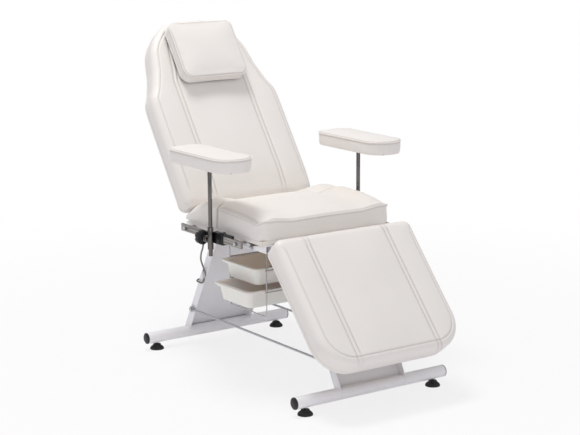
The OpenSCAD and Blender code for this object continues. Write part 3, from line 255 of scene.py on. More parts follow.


# CBC3BC is the painted shade colour for seams, creases and the gaps under edges
vinyl = leatherette("white_pvc_leatherette", "F1EDE9", "ECE8E2", "CBC3BC")
thread_material, _, _ = finish_of("polyester_thread", base_color=linear("E6E1DB"), roughness=0.6)
print("finishes", vinyl.name, thread_material.name)

# %% [markdown]
# ### Powder-coated steel
# White powder is sprayed on the bare tube and baked. It melts into a hard skin with a faint
# orange peel, about 2 mm across, and thins a little over sharp edges. The rail clamps and the
# spring cylinders have a black enamel that is baked in the same way.

# %% Powder coat and enamel
PEEL_MM = 2.0
BAKED = {"grit_mm": PEEL_MM, "raised": 0.12, "grit_detail": 1.0, "deep_mm": 0.15, "patch_mm": 60,
         "patch_detail": 3.0, "coat_weight": 0.15, "coat_roughness": 0.2}
white_coat = toned_skin("white_powder_coat", "F9F8FA", "F2F1F4", roughness=0.3, **BAKED)
black_enamel = toned_skin("black_enamel", "131316", "1B1B1E", roughness=0.35, **BAKED)
print("finishes", white_coat.name, black_enamel.name)

# %% [markdown]
# ### Bright metals
# Posts and sleeves are steel tube plated with chromium. Rails are stainless flat bar, ground
# along its length, and bolts are zinc plated. Metals keep their full reflection; what differs is
# how finely the surface scatters it, and brushing stretches the scatter into lines.

# %% Metals
BRUSH_MM = 0.4


def bright_metal(name, colour, low, high, stretch=(1, 1, 1), mottle_mm=8.0, bump=0.0):
    material, tree, shader = finish_of(name, metallic=1.0, base_color=linear(colour))
    place = add(tree, "TexCoord").outputs["Object"]
    along = add(tree, "Mapping", {"Vector": place})
    along.inputs["Scale"].default_value = stretch
    smear = add(tree, "TexNoise", {"Vector": along.outputs["Vector"]},
                scale_in=1 / (mottle_mm * MM), detail_in=4.0)
    rough = add(tree, "MapRange", {"Value": smear.outputs["Fac"]}, from_min_in=0.3,
                from_max_in=0.7, to_min_in=low, to_max_in=high)
    tree.links.new(rough.outputs["Result"], shader.inputs["Roughness"])
    if bump:
        lines = add(tree, "Bump", {"Height": smear.outputs["Fac"]}, strength_in=bump,
                    distance_in=0.05 * MM)
        tree.links.new(lines.outputs["Normal"], shader.inputs["Normal"])
    return material


chrome = bright_metal("chrome_plate", "6E6B69", 0.05, 0.12, mottle_mm=30)
wire_chrome = bright_metal("chromed_wire", "B4B3B3", 0.12, 0.22, mottle_mm=12)
stainless = bright_metal("brushed_stainless", "A29E9B", 0.26, 0.42, stretch=(1, 0.02, 1),
                         mottle_mm=BRUSH_MM, bump=0.25)
zinc = bright_metal("zinc_plate", "BFC0C4", 0.28, 0.42, mottle_mm=6, bump=0.1)
print("finishes", chrome.name, wire_chrome.name, stainless.name, zinc.name)

# %% [markdown]
# ### Plastics, rubber, plywood
# Knobs, caps and levers are black nylon with a spark-eroded texture. The feet are rubber, duller
# still. The trays are cream ABS from a polished mould, and let a little light into the wall. A dark
# strip under the pillow's lower edge is painted shade for the gap there. The boards are birch
# plywood, with grain along the chair.

# %% Plastics, cloth and plywood
nylon = toned_skin("black_nylon", "17171A", "202024", 0.6, 0.3, roughness=0.42)
rubber = toned_skin("black_rubber", "141415", "1D1D1F", 0.9, 0.35, roughness=0.62)
# a dark strip under the pillow: painted shade for the gap there
gap_shade_finish = toned_skin("painted_gap_shade", "423E3B", "4B4744", 0.7, 0.4, roughness=0.8)
sheath = toned_skin("cable_sheath", "6B6966", "7A7875", 0.8, 0.15, roughness=0.45)
cable_curve.materials.append(sheath)
abs_cream = toned_skin("cream_abs", "FBF8F2", "F6F2EA", 1.5, 0.05, roughness=0.28,
                       subsurface_weight=0.25, subsurface_scale=0.01)

RING_MM = 9.0
plywood, tree, shader = finish_of("birch_plywood", ior=1.5, roughness=0.55)
place = add(tree, "TexCoord").outputs["Object"]
stretched = add(tree, "Mapping", {"Vector": place})
stretched.inputs["Scale"].default_value = (1, 0.06, 0.2)
figure = add(tree, "TexNoise", {"Vector": stretched.outputs["Vector"]}, scale_in=1 / (RING_MM * MM),
             detail_in=6.0, distortion_in=0.6)
veneer = add(tree, "Mix", data_type="RGBA", links={0: figure.outputs["Fac"]})
veneer.inputs[6].default_value = linear("E0C9A4")
veneer.inputs[7].default_value = linear("C7A778")
tree.links.new(veneer.outputs[2], shader.inputs["Base Color"])
fibre = add(tree, "Bump", {"Height": figure.outputs["Fac"]}, strength_in=0.2, distance_in=0.2 * MM)
tree.links.new(fibre.outputs["Normal"], shader.inputs["Normal"])
print("finishes", nylon.name, rubber.name, gap_shade_finish.name, sheath.name, abs_cream.name,
      plywood.name)

# %% [markdown]
# ## Making meshes
# Everything new is rings of points laid one on another: boards, strips, sweeps along a path, and
# sewn forms. Each helper takes points in millimetres, moves them with a measuring frame and gives
# a named, smooth object.


# %% Mesh helpers
def outward_mesh(name, points, faces, weld=0.0):
    """A mesh in metres, its faces turned outward, with vertices nearer than weld joined"""
    mesh = bpy.data.meshes.new(name)
    mesh.from_pydata([tuple(p) for p in points], [], faces)
    if weld:
        mesh.validate()
    work = bmesh.new()
    work.from_mesh(mesh)
    if weld:
        bmesh.ops.remove_doubles(work, verts=work.verts, dist=weld)
    bmesh.ops.recalc_face_normals(work, faces=work.faces)
    work.to_mesh(mesh)
    work.free()
    return mesh


def placed(name, mesh, material, body):
    """The mesh as a smooth object with its finish, riding on a body"""
    mesh.materials.append(material)
    mesh.shade_smooth()
    made = in_scene(name, mesh)
    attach(made, body)
    return made


def piece(name, points, faces, matrix, material, body):
    """An object whose points are in a measuring frame's millimetres"""
    mesh = outward_mesh(name, moved(points, matrix), faces, weld=1e-6)
    print(name, len(points), "points")
    return placed(name, mesh, material, body)


def ring_faces(count, n, closed=False):
    """Four-sided faces between count rings of n points each, numbered ring by ring"""
    return [(k * n + i, k * n + (i + 1) % n, (k + 1) % count * n + (i + 1) % n,
             (k + 1) % count * n + i)
            for k in range(count if closed else count - 1) for i in range(n)]


def swept(path, radius, sides, closed):
    """Points and faces of a round cord along a path"""
    n, points = len(path), []
    turns = [2 * math.pi * k / sides for k in range(sides)]
    section = [(radius * math.cos(t), radius * math.sin(t)) for t in turns]
    for i, p in enumerate(path):
        ahead = path[(i + 1) % n] if closed or i < n - 1 else p
        behind = path[i - 1] if closed or i > 0 else p
        along = Vector(ahead - behind).normalized()
        side = along.cross(Vector((0, 0, 1)))
        side = side.normalized() if side.length > 1e-6 else Vector((1, 0, 0))
        top = side.cross(along)
        points += [p + a * np.array(side) + b * np.array(top) for a, b in section]
    faces = ring_faces(n, sides, closed)
    if not closed:
        faces += [tuple(range(sides)), tuple(reversed(range((n - 1) * sides, n * sides)))]
    return points, faces


# %% [markdown]
# ## Sewn and stuffed covers
# Each cushion is foam on a board, under a cover sewn from flat pieces: a face, a band round its
# edge, and lines of stitching. The plan is worked out first as a closed edge, then rings are
# set in from it, so that every seam lies on vertices of its own. Inside the last ring the face
# is filled by Delaunay's rule, which lets the rows follow the sewn channels.

# %% Plan of a cushion
EDGE_STEP, FACE_STEP = 5.0, 6.5
MOST_INSET = 34.0  # no ring is set in further than this, and less where the edge turns sharply


def rounded(corners, steps=10):
    """Closed line, anticlockwise, through (x, y, radius) corners"""
    line, n = [], len(corners)
    for i, (x, y, r) in enumerate(corners):
        here = np.array((x, y), float)
        if r <= 0:
            line.append(here)
            continue
        a = np.array(corners[i - 1][:2], float) - here
        b = np.array(corners[(i + 1) % n][:2], float) - here
        a, b = a / np.linalg.norm(a), b / np.linalg.norm(b)
        half = math.acos(max(-1, min(1, float(a @ b)))) / 2
        reach = r / math.tan(half)
        middle = here + (a + b) / np.linalg.norm(a + b) * r / math.sin(half)
        start, end = here + a * reach - middle, here + b * reach - middle
        turn = math.atan2(start[0] * end[1] - start[1] * end[0], float(start @ end))
        for k in range(steps + 1):
            c, s = math.cos(turn * k / steps), math.sin(turn * k / steps)
            line.append(middle + (start[0] * c - start[1] * s, start[0] * s + start[1] * c))
    return np.array(line)


def oblong(half, low, high, low_round, high_round, middle=0):
    """A plan with straight sides: half its width, its two ends, and the corners' radius at each"""
    left, right = middle - half, middle + half
    return rounded([(left, low, low_round), (right, low, low_round), (right, high, high_round),
                    (left, high, high_round)])


def even(line, step):
    """The same closed line, with points at even distances"""
    line = np.vstack([line, line[:1]])
    gaps = np.linalg.norm(np.diff(line, axis=0), axis=1)
    keep = np.concatenate([[True], gaps > 1e-9])
    line, gaps = line[keep], gaps[gaps > 1e-9]
    at = np.concatenate([[0], np.cumsum(gaps)])
    n = max(8, round(at[-1] / step))
    want = np.linspace(0, at[-1], n, endpoint=False)
    return np.stack([np.interp(want, at, line[:, k]) for k in range(line.shape[1])], axis=1)


def outward(edge):
    """Normals of a closed edge, and how far a ring can be set in from each point"""
    t = np.roll(edge, -1, 0) - np.roll(edge, 1, 0)
    t /= np.linalg.norm(t, axis=1)[:, None]
    turn = np.cross(np.roll(t, 1, 0), np.roll(t, -1, 0))
    span = np.linalg.norm(np.roll(edge, -1, 0) - np.roll(edge, 1, 0), axis=1)
    room = np.where(turn > 1e-4, 0.8 * span / np.maximum(turn, 1e-4), MOST_INSET)
    room = np.minimum(room, MOST_INSET)
    for _ in range(4):
        room = np.minimum(room, np.minimum(np.roll(room, 1), np.roll(room, -1)))
    for _ in range(5):
        room = (room + np.roll(room, 1) + np.roll(room, -1)) / 3
    return np.stack([t[:, 1], -t[:, 0]], axis=1), room


def ring_points(edge, rings):
    """Rings that follow an edge, from (inset, height) pairs"""
    away, _ = outward(edge)
    return np.vstack([np.column_stack([edge - away * np.reshape(inset, (-1, 1)),
                                       np.full(len(edge), z)]) for inset, z in rings])


def distance_to(edge, points):
    """Distance from each point to a closed edge"""
    a, b = edge, np.roll(edge, -1, 0)
    best = np.full(len(points), 1e9)
    ab = b - a
    size = np.maximum((ab ** 2).sum(1), 1e-12)
    for k in range(0, len(points), 2000):
        p = points[k:k + 2000, None]
        t = np.clip(((p - a) * ab).sum(2) / size, 0, 1)
        best[k:k + 2000] = np.sqrt(((a + ab * t[..., None] - p) ** 2).sum(2)).min(1)
    return best


def inside(edge, points):
    """Which points lie within a closed edge"""
    x, y = points[:, 0, None], points[:, 1, None]
    a, b = edge, np.roll(edge, -1, 0)
    crosses = (a[:, 1] > y) != (b[:, 1] > y)
    rise = np.where(b[:, 1] == a[:, 1], 1e-9, b[:, 1] - a[:, 1])
    return (crosses & (x < (b[:, 0] - a[:, 0]) * (y - a[:, 1]) / rise + a[:, 0])).sum(1) % 2 == 1


# %% Cover over a plan
# Columns beside a channel's middle, in mm. Its two seams lie at 7.5.
FINE_COLUMNS = (-22, -14, -10.5, -7.5, -4.5, 0, 4.5, 7.5, 10.5, 14, 22)
COARSE_COLUMNS = (-7.5, 7.5)


def sewn_form(plan, wall, insets, height, step=FACE_STEP, edge_step=EDGE_STEP, lines=()):
    """A closed cover. wall is (inset, base, share) rows from the hem up to the edge of the face,
    insets are its rings, height(x, y, d) is its top, and lines are functions x(y) that the face's
    columns follow. Gives points, faces, rows as arrays of point numbers, and how far each point
    lies in from the edge, which is below 0 on the wall."""
    edge = even(plan, edge_step)
    normal, room = outward(edge)
    deepest = max(max(insets), max(w[0] for w in wall))
    squeeze = np.minimum(1, room / deepest)[:, None]
    n, rings = len(edge), []

    def ring(d, z):
        p = edge - normal * (d * squeeze if d > 0 else d)
        rings.append(np.column_stack([p, z(p)]))
        return p

    top = height(edge[:, 0], edge[:, 1], np.zeros(n))
    for d, base, share in wall:
        ring(d, lambda p: base + share * (top - base))
    for d in insets:
        last = ring(d, lambda p: height(p[:, 0], p[:, 1], np.full(n, float(d))))
    low, high = last.min(0), last.max(0)
    offsets = FINE_COLUMNS if step < 9 else COARSE_COLUMNS
    inner = []
    for y in np.arange(low[1] + step * 0.7, high[1] - step * 0.5, step):
        xs = np.array(sorted(f(y) + o for f in lines for o in offsets))
        half_count = math.ceil((high[0] - low[0]) / 2 / step)
        plain = (low[0] + high[0]) / 2 + step * np.arange(-half_count, half_count + 1)
        if len(xs):
            plain = plain[np.abs(plain[:, None] - xs).min(1) > step * 0.6]
        inner += [(x, y) for x in np.concatenate([xs, plain])]
    inner = np.array(inner)
    inner = inner[inside(last, inner)]
    beyond = distance_to(last, inner)
    inner, beyond = inner[beyond > step * 0.45], beyond[beyond > step * 0.45] + insets[-1]
    both = np.vstack([last, inner])
    links = [(i, (i + 1) % n) for i in range(n)]
    spots, _, fill, origins, _, _ = delaunay_2d_cdt([Vector(p) for p in both], links, [], 1, 1e-4)
    at = [o[0] if o else int(((both - np.array(v)) ** 2).sum(1).argmin())
          for v, o in zip(spots, origins)]
    first = (len(rings) - 1) * n
    faces = [tuple(first + at[k] for k in f) for f in fill if len({at[k] for k in f}) == 3]
    faces += ring_faces(len(rings), n) + [tuple(reversed(range(n)))]
    depth = np.repeat([-1.0] * len(wall) + [float(d) for d in insets], n)
    points = rings + [np.column_stack([inner, height(inner[:, 0], inner[:, 1], beyond)])]
    rows = np.arange(len(rings) * n).reshape(-1, n)
    return np.vstack(points), faces, rows, np.concatenate([depth, beyond])


# %% [markdown]
# ## Stuffing
# Foam pushes the cover out between its seams. Blender's Cloth does this with pressure from
# inside, on a coarse copy of the form whose hem and seams are pinned. How far each point moved is
# then carried over to the fine cover, so the seams stay sharp and the foam stays soft.

# %% Cloth
PRESSURE, FRAMES = 4.0, 20
CARRY_MM, NEIGHBOURS = 14.0, 10


def stuffed(fine, coarse, coarse_faces, pinned, cap):
    """How far the fine points move as Cloth moves the coarse form, in millimetres"""
    form = in_scene("stuffing", outward_mesh("stuffing", coarse * MM, coarse_faces))
    held = form.vertex_groups.new(name="held")
    held.add([int(k) for k in pinned], 1.0, "REPLACE")
    cloth = form.modifiers.new("Cloth", "CLOTH")
    cloth.settings.vertex_group_mass = "held"
    cloth.settings.use_pressure = True
    cloth.settings.uniform_pressure_force = PRESSURE
    cloth.settings.quality = 5
    cloth.settings.bending_stiffness = 0.6
    cloth.settings.effector_weights.gravity = 0
    cloth.point_cache.frame_start, cloth.point_cache.frame_end = 1, FRAMES
    for moment in range(1, FRAMES + 1):
        bpy.context.scene.frame_set(moment)
    shown = form.evaluated_get(bpy.context.evaluated_depsgraph_get()).data
    after = np.empty(len(shown.vertices) * 3)
    shown.vertices.foreach_get("co", after)
    move = after.reshape(-1, 3) / MM - coarse
    bpy.data.objects.remove(form)
    bpy.context.scene.frame_set(1)
    size = np.linalg.norm(move, axis=1)
    print("stuffing moved up to", round(float(size.max()), 1), "mm, middle",
          round(float(np.median(size)), 1))
    move *= (np.minimum(size, cap) / np.maximum(size, 1e-9))[:, None]
    tree = kdtree.KDTree(len(coarse))
    for k, p in enumerate(coarse):
        tree.insert(p, k)
    tree.balance()
    carried = np.zeros_like(fine)
    for k, p in enumerate(fine):
        near = tree.find_n(p, NEIGHBOURS)
        weight = np.array([math.exp(-(d / CARRY_MM) ** 2 * 2) for _, _, d in near]) + 1e-12
        carried[k] = (move[[i for _, i, _ in near]] * weight[:, None]).sum(0) / weight.sum()
    return carried


def cover(name, points, faces, matrix, body, painted_shade, node):
    """The finished cover as a piece, with painted shade in its seams, creases and gaps, stored as
    seam
    """
    mesh = outward_mesh(name, moved(points, matrix), faces)
    # painted shade, stored in the seam attribute
    mesh.attributes.new("seam", "FLOAT", "POINT").data.foreach_set("value", np.clip(painted_shade, 0, 1))
    made = placed(name, mesh, vinyl, body)
    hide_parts(node)
    size = points.max(0) - points.min(0)
    print(name, len(points), "points,", " x ".join(str(round(float(s))) for s in size), "mm")


# %% [markdown]
# ## Heights and grooves
# A stitched line is a groove about 3 mm deep, since the thread pulls the cover into the foam.
# The foam stands up again within a few centimetres. The edge of each face rolls over in a
# quarter ellipse, tighter where a band is sewn on.


# %% Height helpers
def roll_off(d, reach, drop):
    """How far a rolled edge lies below the face, at distance d in from the edge"""
    t = 1 - np.clip(d / reach, 0, 1)
    return drop * (1 - np.sqrt(np.maximum(0, 1 - t * t)))


def groove(d, deep, wide=2.4):
    """How far a stitched line draws the cover in, at distance d from it"""
    return deep * np.exp(-(d / wide) ** 2)


def painted_edge_shade(depth, at):
    """Painted shade beside a seam that runs round a face, at distance at in from its edge"""
    return groove(depth - at, 1, 2.5) * (depth >= 0)


def swell(d, high, reach=26.0):
    """How far foam stands up again, at distance d from a seam"""
    return high * (1 - np.exp(-np.maximum(d, 0) / reach))


def smooth_step(t):
    """0 below 0 and 1 above 1, with a smooth turn between"""
    t = np.clip(t, 0, 1)
    return t * t * (3 - 2 * t)


def pucker(along, across, size=0.45, every=11.0, reach=16.0):
    """Small gathers that stitching leaves beside a seam"""
    return size * np.sin(2 * math.pi * along / every + 1.7 * np.sin(along / 37)) * np.exp(
        -across / reach)


def band_rows(base, *rows):
    """Wall rows from (inset, share) pairs; share is the way up from base to the face"""
    return [(inset, base, share) for inset, share in rows]


# %% Rows of the panels' covers
BOARD_LOW, BOARD_TOP, FACE = 12.5, 24.5, 87.5
HEM = [(4.4, BOARD_TOP + 0.1, 0), (4.4, BOARD_LOW - 0.05, 0), (26, BOARD_LOW - 0.05, 0),
       (26.5, BOARD_LOW - 1.0, 0), (6, BOARD_LOW - 1.1, 0), (3.6, BOARD_LOW - 0.3, 0),
       (3.0, BOARD_LOW + 1.5, 0), (3.2, BOARD_TOP - 1.5, 0), (3.7, BOARD_TOP, 0)]
WALL = band_rows(BOARD_TOP, (2.2, 0.08), (0.8, 0.22), (0.6, 0.4), (1.0, 0.58), (0.6, 0.78),
                 (0.1, 0.92))
BAND = 24.0
RINGS = [0, 1.2, 3, 5.5, 8.5, 12, 15.5, 18.5, 21, 22.7, BAND, 25.3, 27, 29.5, 33]
COARSE_WALL, COARSE_RINGS = band_rows(BOARD_TOP, (0.8, 0.3), (0.6, 0.7)), [0, 8, 16, BAND, 33]
print("a panel's cover has", len(HEM + WALL), "rows on its wall and", len(RINGS), "on its face")

# %% [markdown]
# ## Back and leg rest
# Both are flat boards with 75 mm of padding. A band runs all round, and two pairs of stitched
# lines run lengthwise with a narrow ridge between them. The back narrows to a head end, and its
# foam falls away at the lower end, where the sitter's back meets the seat. The cover is pulled
# round the board's edge and stapled under it, so the hem is part of the same closed form.

# %% Panels
CHANNEL_HALF, SEAM_FADE = 7.5, 40
ROUND_REACH, ROUND_DROP = 27, 22
CROWN = 2.5
PANEL_CAP = 7
PILLOW_HALF, PILLOW_FROM, PILLOW_TO, PILLOW_LOW = 130, 493, 712, 94.8
BACK_FROM, BACK_LONG, BACK_HALF = 35, 721, 265
BACK_EDGE = [(.08, 1), (.15, 1), (.3, 1), (.43, 1), (.54, .996), (.584, .98), (.61, .945),
             (.638, .906), (.688, .853), (.733, .811), (.778, .785), (.834, .747), (.86, .718),
             (.89, .67), (.918, .61), (.945, .547), (.966, .475), (.98, .4), (.991, .32), (1, .2)]
back_side = smooth_way([(BACK_HALF * w, BACK_FROM + BACK_LONG * s) for s, w in BACK_EDGE], 4)
back_plan = rounded(
    [(-BACK_HALF, BACK_FROM, 26), (BACK_HALF, BACK_FROM, 26)]
    + [(x, y, 0) for x, y in back_side] + [(0, BACK_FROM + BACK_LONG + 1.5, 0)]
    + [(-x, y, 0) for x, y in back_side[::-1]])
legrest_plan = oblong(273, 3, 474, 28, 112)


def back_channel(y):
    """Half the distance between the back's two channels, narrower towards the head"""
    half = np.interp(y, back_side[:, 1], back_side[:, 0])
    return np.minimum(145, 0.62 * half)


def legrest_channel(y):
    return 158.0 + 0 * y


def from_channel(channel, x, y):
    """Distances from the middle of the nearer channel, and from the nearer of its two seams"""
    across = np.abs(np.abs(x) - channel(y))
    return across, np.abs(across - CHANNEL_HALF)


def panel_height(plan, channel, shape, band_from, grooves=True):
    """A panel's height over its plan. The seam of its band fades in beyond band_from."""
    edge = even(plan, EDGE_STEP)

    def height(x, y, d):
        near = distance_to(edge, np.column_stack([x, y]))
        sewn = smooth_step((y - band_from) / SEAM_FADE)
        across, off = from_channel(channel, x, y)
        free = np.maximum(0, across - CHANNEL_HALF)
        z = FACE - roll_off(near, ROUND_REACH, ROUND_DROP) + shape(x, y)
        # the foam crowns between its seams, and stands up quickly beside a channel
        z = z + swell(d - BAND, 1) * swell(free, CROWN, 24) + 1.5 * swell(free, 1, 12)
        if grooves:
            into = 0.35 + 0.65 * smooth_step((d - 6) / 20)
            z = z - groove(d - BAND, 2.4) * sewn - into * groove(off, 2.8)
            z = z + into * groove(across, 1.2, 4.5)
            z = z + into * pucker(y, off) + sewn * pucker(x + y, np.abs(d - BAND))
        return z
    return height


def panel(name, plan, channel, shape, band_from, matrix, body, node, press=None):
    """A panel's stuffed cover. press, if given, moves its points last."""
    both = (channel, lambda y: -channel(y))
    points, faces, rows, depth = sewn_form(
        plan, HEM + WALL, RINGS, panel_height(plan, channel, shape, band_from), lines=both)
    plain = panel_height(plan, channel, shape, band_from, grooves=False)
    form, form_faces, form_rows, form_depth = sewn_form(
        plan, HEM + COARSE_WALL, COARSE_RINGS, plain, step=12, edge_step=12, lines=both)
    _, off = from_channel(channel, form[:, 0], form[:, 1])
    pinned = set(np.flatnonzero((form_depth < 0) & (form[:, 2] < BOARD_TOP + 1)))
    pinned |= set(form_rows[len(HEM + COARSE_WALL) + COARSE_RINGS.index(BAND)])
    pinned |= set(np.flatnonzero((off < 0.5) & (form_depth > COARSE_RINGS[-1])))
    points = points + stuffed(points, form, form_faces, pinned, PANEL_CAP)
    if press is not None:
        points = press(points)
    _, off = from_channel(channel, points[:, 0], points[:, 1])
    sewn = smooth_step((points[:, 1] - band_from) / SEAM_FADE)
    # painted shade along the band seam and the channel seams, and at the foot of the wall
    painted_shade = np.maximum(0.45 * sewn * groove(depth - BAND, 1, 2),
                      0.75 * groove(off, 1, 2) * (depth >= 0))
    painted_shade[rows[len(HEM) - 1]] = 0.6
    cover(name, points, faces, matrix, body, painted_shade, node)
    return points, faces


# %% Back and leg rest covers
def back_shape(x, y):
    """A slight lumbar rise, and foam that falls away at the lower end"""
    lumbar = 6 * np.exp(-((y - 175) / 120) ** 2) * (1 - np.minimum(1, np.abs(x) / 230) ** 2)
    return lumbar - 12 * np.maximum(0, 1 - (y - BACK_FROM) / 110) ** 2


def under_pillow(points):
    """The cover pressed down to just below the pillow, where the pillow lies on it"""
    x, y = points[:, 0], points[:, 1]
    covered = smooth_step((PILLOW_HALF + 4 - np.abs(x)) / 12) * smooth_step(
        (y - (PILLOW_FROM - 5)) / 12) * smooth_step((PILLOW_TO + 4 - y) / 12)
    points[:, 2] -= covered * np.maximum(0, points[:, 2] - (PILLOW_LOW - 0.5))
    return points


BACK_BAND_FROM, LEGREST_BAND_FROM = 75, 22
back_cover = panel("back_upholstery", back_plan, back_channel, back_shape, BACK_BAND_FROM, BACK,
                   "back", "back_cushion", under_pillow)
legrest_cover = panel("legrest_upholstery", legrest_plan, legrest_channel, lambda x, y: 0 * x,
                      LEGREST_BAND_FROM, LEGREST, "legrest", "legrest_cushion")

# %% [markdown]
# ## Boards
# Under each cover lies a birch board with the cover's own outline, a little smaller, so that the
# leatherette can wrap its edge. It is cut with a router, which leaves a small chamfer below.

# %% Boards
STRIP_STEP, BOARD_INSET, CHAMFER = 6.0, 4.7, 1.2


def board(name, plan, low, high, matrix, body, node):
    """A board from the cover's plan, from its lower to its upper face"""
    edge = even(plan, STRIP_STEP)
    points = ring_points(edge, [(BOARD_INSET, high), (BOARD_INSET, low + CHAMFER),
                                (BOARD_INSET + CHAMFER, low)])
    n = len(edge)
    faces = ring_faces(3, n) + [tuple(range(n))[::-1], tuple(range(2 * n, 3 * n))]
    made = piece(name, points, faces, matrix, plywood, body)
    made.data.set_sharp_from_angle(angle=math.radians(30))
    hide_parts(node)


board("back_ply", back_plan, BOARD_LOW, BOARD_TOP, BACK, "back", "back_board")
board("legrest_ply", legrest_plan, BOARD_LOW, BOARD_TOP, LEGREST, "legrest", "legrest_board")

# %% [markdown]
# ## Piping
# Where a face meets its band, a cord is sewn into the seam. It follows the edge of the finished
# cover exactly, so it is swept along the same row of points after the stuffing.


# %% Piping helper
def piping(name, line, matrix, body, radius=2.3, closed=True, out=0.6):
    """A cord along a row of the cover's points, set out a little from their middle"""
    away = line - line.mean(0)
    away[:, 2] = 0
    line = line + out * away / np.maximum(np.linalg.norm(away, axis=1), 1e-6)[:, None]
    points, faces = swept(line, radius, 10, closed)
    piece(name, points, faces, matrix, vinyl, body)


# %% [markdown]
# ## Stitching
# Both sides of a seam are held down by a row of short lock stitches, about six to the inch. A
# stitch is a thread half sunk in the cover: a small spindle, laid along the seam. All the
# stitches of a cushion are one mesh.

# %% Stitches
STITCH, STITCH_GAP, THREAD = 4.2, 2.1, 0.42
BESIDE_CHANNEL, BESIDE_BAND = 2.6, 3.0
SUNK, RAISED, OVER_ALL = 0.3, 0.7, 400


def stitches(name, cover_points, cover_faces, lines, matrix, body):
    """Stitches along lines in the plan, each dropped on the cover from above"""
    tree = BVHTree.FromPolygons([tuple(p) for p in cover_points], cover_faces)
    points, faces = [], []
    for line in lines:
        at = np.concatenate([[0], np.cumsum(np.linalg.norm(np.diff(line, axis=0), axis=1))])
        for start in np.arange(0, at[-1] - STITCH, STITCH + STITCH_GAP):
            ends = [[np.interp(start + t, at, line[:, k]) for k in (0, 1)] for t in (0, STITCH)]
            (a, lift, _, _), (b, _, _, _) = (
                tree.ray_cast(Vector((*end, OVER_ALL)), Vector((0, 0, -1))) for end in ends)
            if a is None or b is None or abs(a.z - b.z) > STITCH:
                continue
            lift = lift if lift.z > 0 else -lift
            side = (b - a).normalized().cross(lift).normalized()
            middle = (a + b) / 2 + lift * THREAD * RAISED
            first = len(points)
            points += [a - lift * THREAD * SUNK, middle + side * THREAD, middle + lift * THREAD,
                       middle - side * THREAD, b - lift * THREAD * SUNK]
            faces += [(first, first + 1, first + 2), (first, first + 2, first + 3),
                      (first + 4, first + 2, first + 1), (first + 4, first + 3, first + 2)]
    mesh = bpy.data.meshes.new(name)
    mesh.from_pydata([tuple(p) for p in moved(points, matrix)], [], faces)
    placed(name, mesh, thread_material, body)
    print(name, len(faces) // 4, "stitches")


def seam_lines(plan, channel, low, high, band_from):
    """Both rows of each channel seam, and the row inside the band seam"""
    ys = np.arange(low, high, 8.0)
    lines = [np.column_stack([side * (channel(ys) + row * (CHANNEL_HALF + BESIDE_CHANNEL)), ys])
             for side in (-1, 1) for row in (-1, 1)]
    edge = even(plan, EDGE_STEP)
    normal, room = outward(edge)
    ring = edge - normal * ((BAND + BESIDE_BAND) * np.minimum(1, room / RINGS[-1]))[:, None]
    ring = np.vstack([ring, ring[:1]])
    keep = ring[:, 1] > band_from + 25
    breaks = np.flatnonzero(np.diff(keep.astype(int))) + 1
    return lines + [run for run, used in zip(np.split(ring, breaks), np.split(keep, breaks))
                    if used[0] and len(run) > 3]


stitches("back_stitching", *back_cover,
         seam_lines(back_plan, back_channel, 60, 735, BACK_BAND_FROM), BACK, "back")
stitches("legrest_stitching", *legrest_cover,
         seam_lines(legrest_plan, legrest_channel, 14, 466, LEGREST_BAND_FROM), LEGREST, "legrest")

# %% [markdown]
# ## Head pillow
# The pillow is a separate cushion with a boxed band and piping on both edges. It is soft, so
# its face is crowned, and the back's cover lies flat under it. The middle of its lower edge
# stands off the back by a few millimetres, which shows as a dark line.

# %% Pillow
PILLOW_TOP, PILLOW_LIFT, LIFT_HALF, PILLOW_CAP = 149.8, 4.5, 112, 10
pillow_plan = oblong(PILLOW_HALF, PILLOW_FROM, PILLOW_TO, 34, 22)
pillow_edge = even(pillow_plan, EDGE_STEP)


def pillow_height(x, y, d):
    """The pillow's height over its plan, highest in the middle"""
    near = distance_to(pillow_edge, np.column_stack([x, y]))
    middle = (PILLOW_FROM + PILLOW_TO) / 2
    crown = (1 - (x / PILLOW_HALF) ** 2) * (1 - ((y - middle) / 110) ** 2)
    return (PILLOW_TOP - 9 + 3 * np.maximum(0, crown) ** 0.7
            - roll_off(near, 9, 5) + pucker(x + y, d, 0.5, 13, 12))


def pillow_lift(places):
    """How far the middle of the lower edge stands off the back"""
    return PILLOW_LIFT * np.maximum(0, 1 - (places[:, 0] / LIFT_HALF) ** 2) * smooth_step(
        (560 - places[:, 1]) / 60)


pillow_wall = band_rows(PILLOW_LOW, (13, 0), (7, 0.02), (2.8, 0.08), (0.6, 0.15), (-0.8, 0.25),
                        (-1.6, 0.5), (-1.0, 0.75), (0.2, 0.95))
points, faces, rows, depth = sewn_form(pillow_plan, pillow_wall, [0, 2, 4.5, 8, 13, 19, 26, 34],
                                       pillow_height)
form, form_faces, form_rows, _ = sewn_form(
    pillow_plan, band_rows(PILLOW_LOW, (4, 0), (0.5, 0.3), (0.5, 0.7)), [0, 8, 20, 34],
    pillow_height, step=11, edge_step=10)
pinned = set(form_rows[0]) | set(form_rows[3])
points = points + stuffed(points, form, form_faces, pinned, PILLOW_CAP)
points[:, 2] += pillow_lift(points) * smooth_step((PILLOW_LOW + 32 - points[:, 2]) / 32)
# painted shade beside the face piping, on the lowest rows in the gap under the pillow, and under
# the face piping
painted_shade = painted_edge_shade(depth, 2) * 0.7
painted_shade[np.concatenate(rows[:3])] = 1.0
painted_shade[rows[len(pillow_wall) - 1]] = 0.7
cover("pillow_upholstery", points, faces, BACK, "back", painted_shade, "pillow")
piping("pillow_face_piping", points[rows[len(pillow_wall)]], BACK, "back")
piping("pillow_rear_piping", points[rows[3]], BACK, "back")

# %% [markdown]
# A dark strip follows the pillow's lower edge from inside, in the shape of a rear cloth, and
# shows in the gap. Its dark colour is painted shade for that gap.

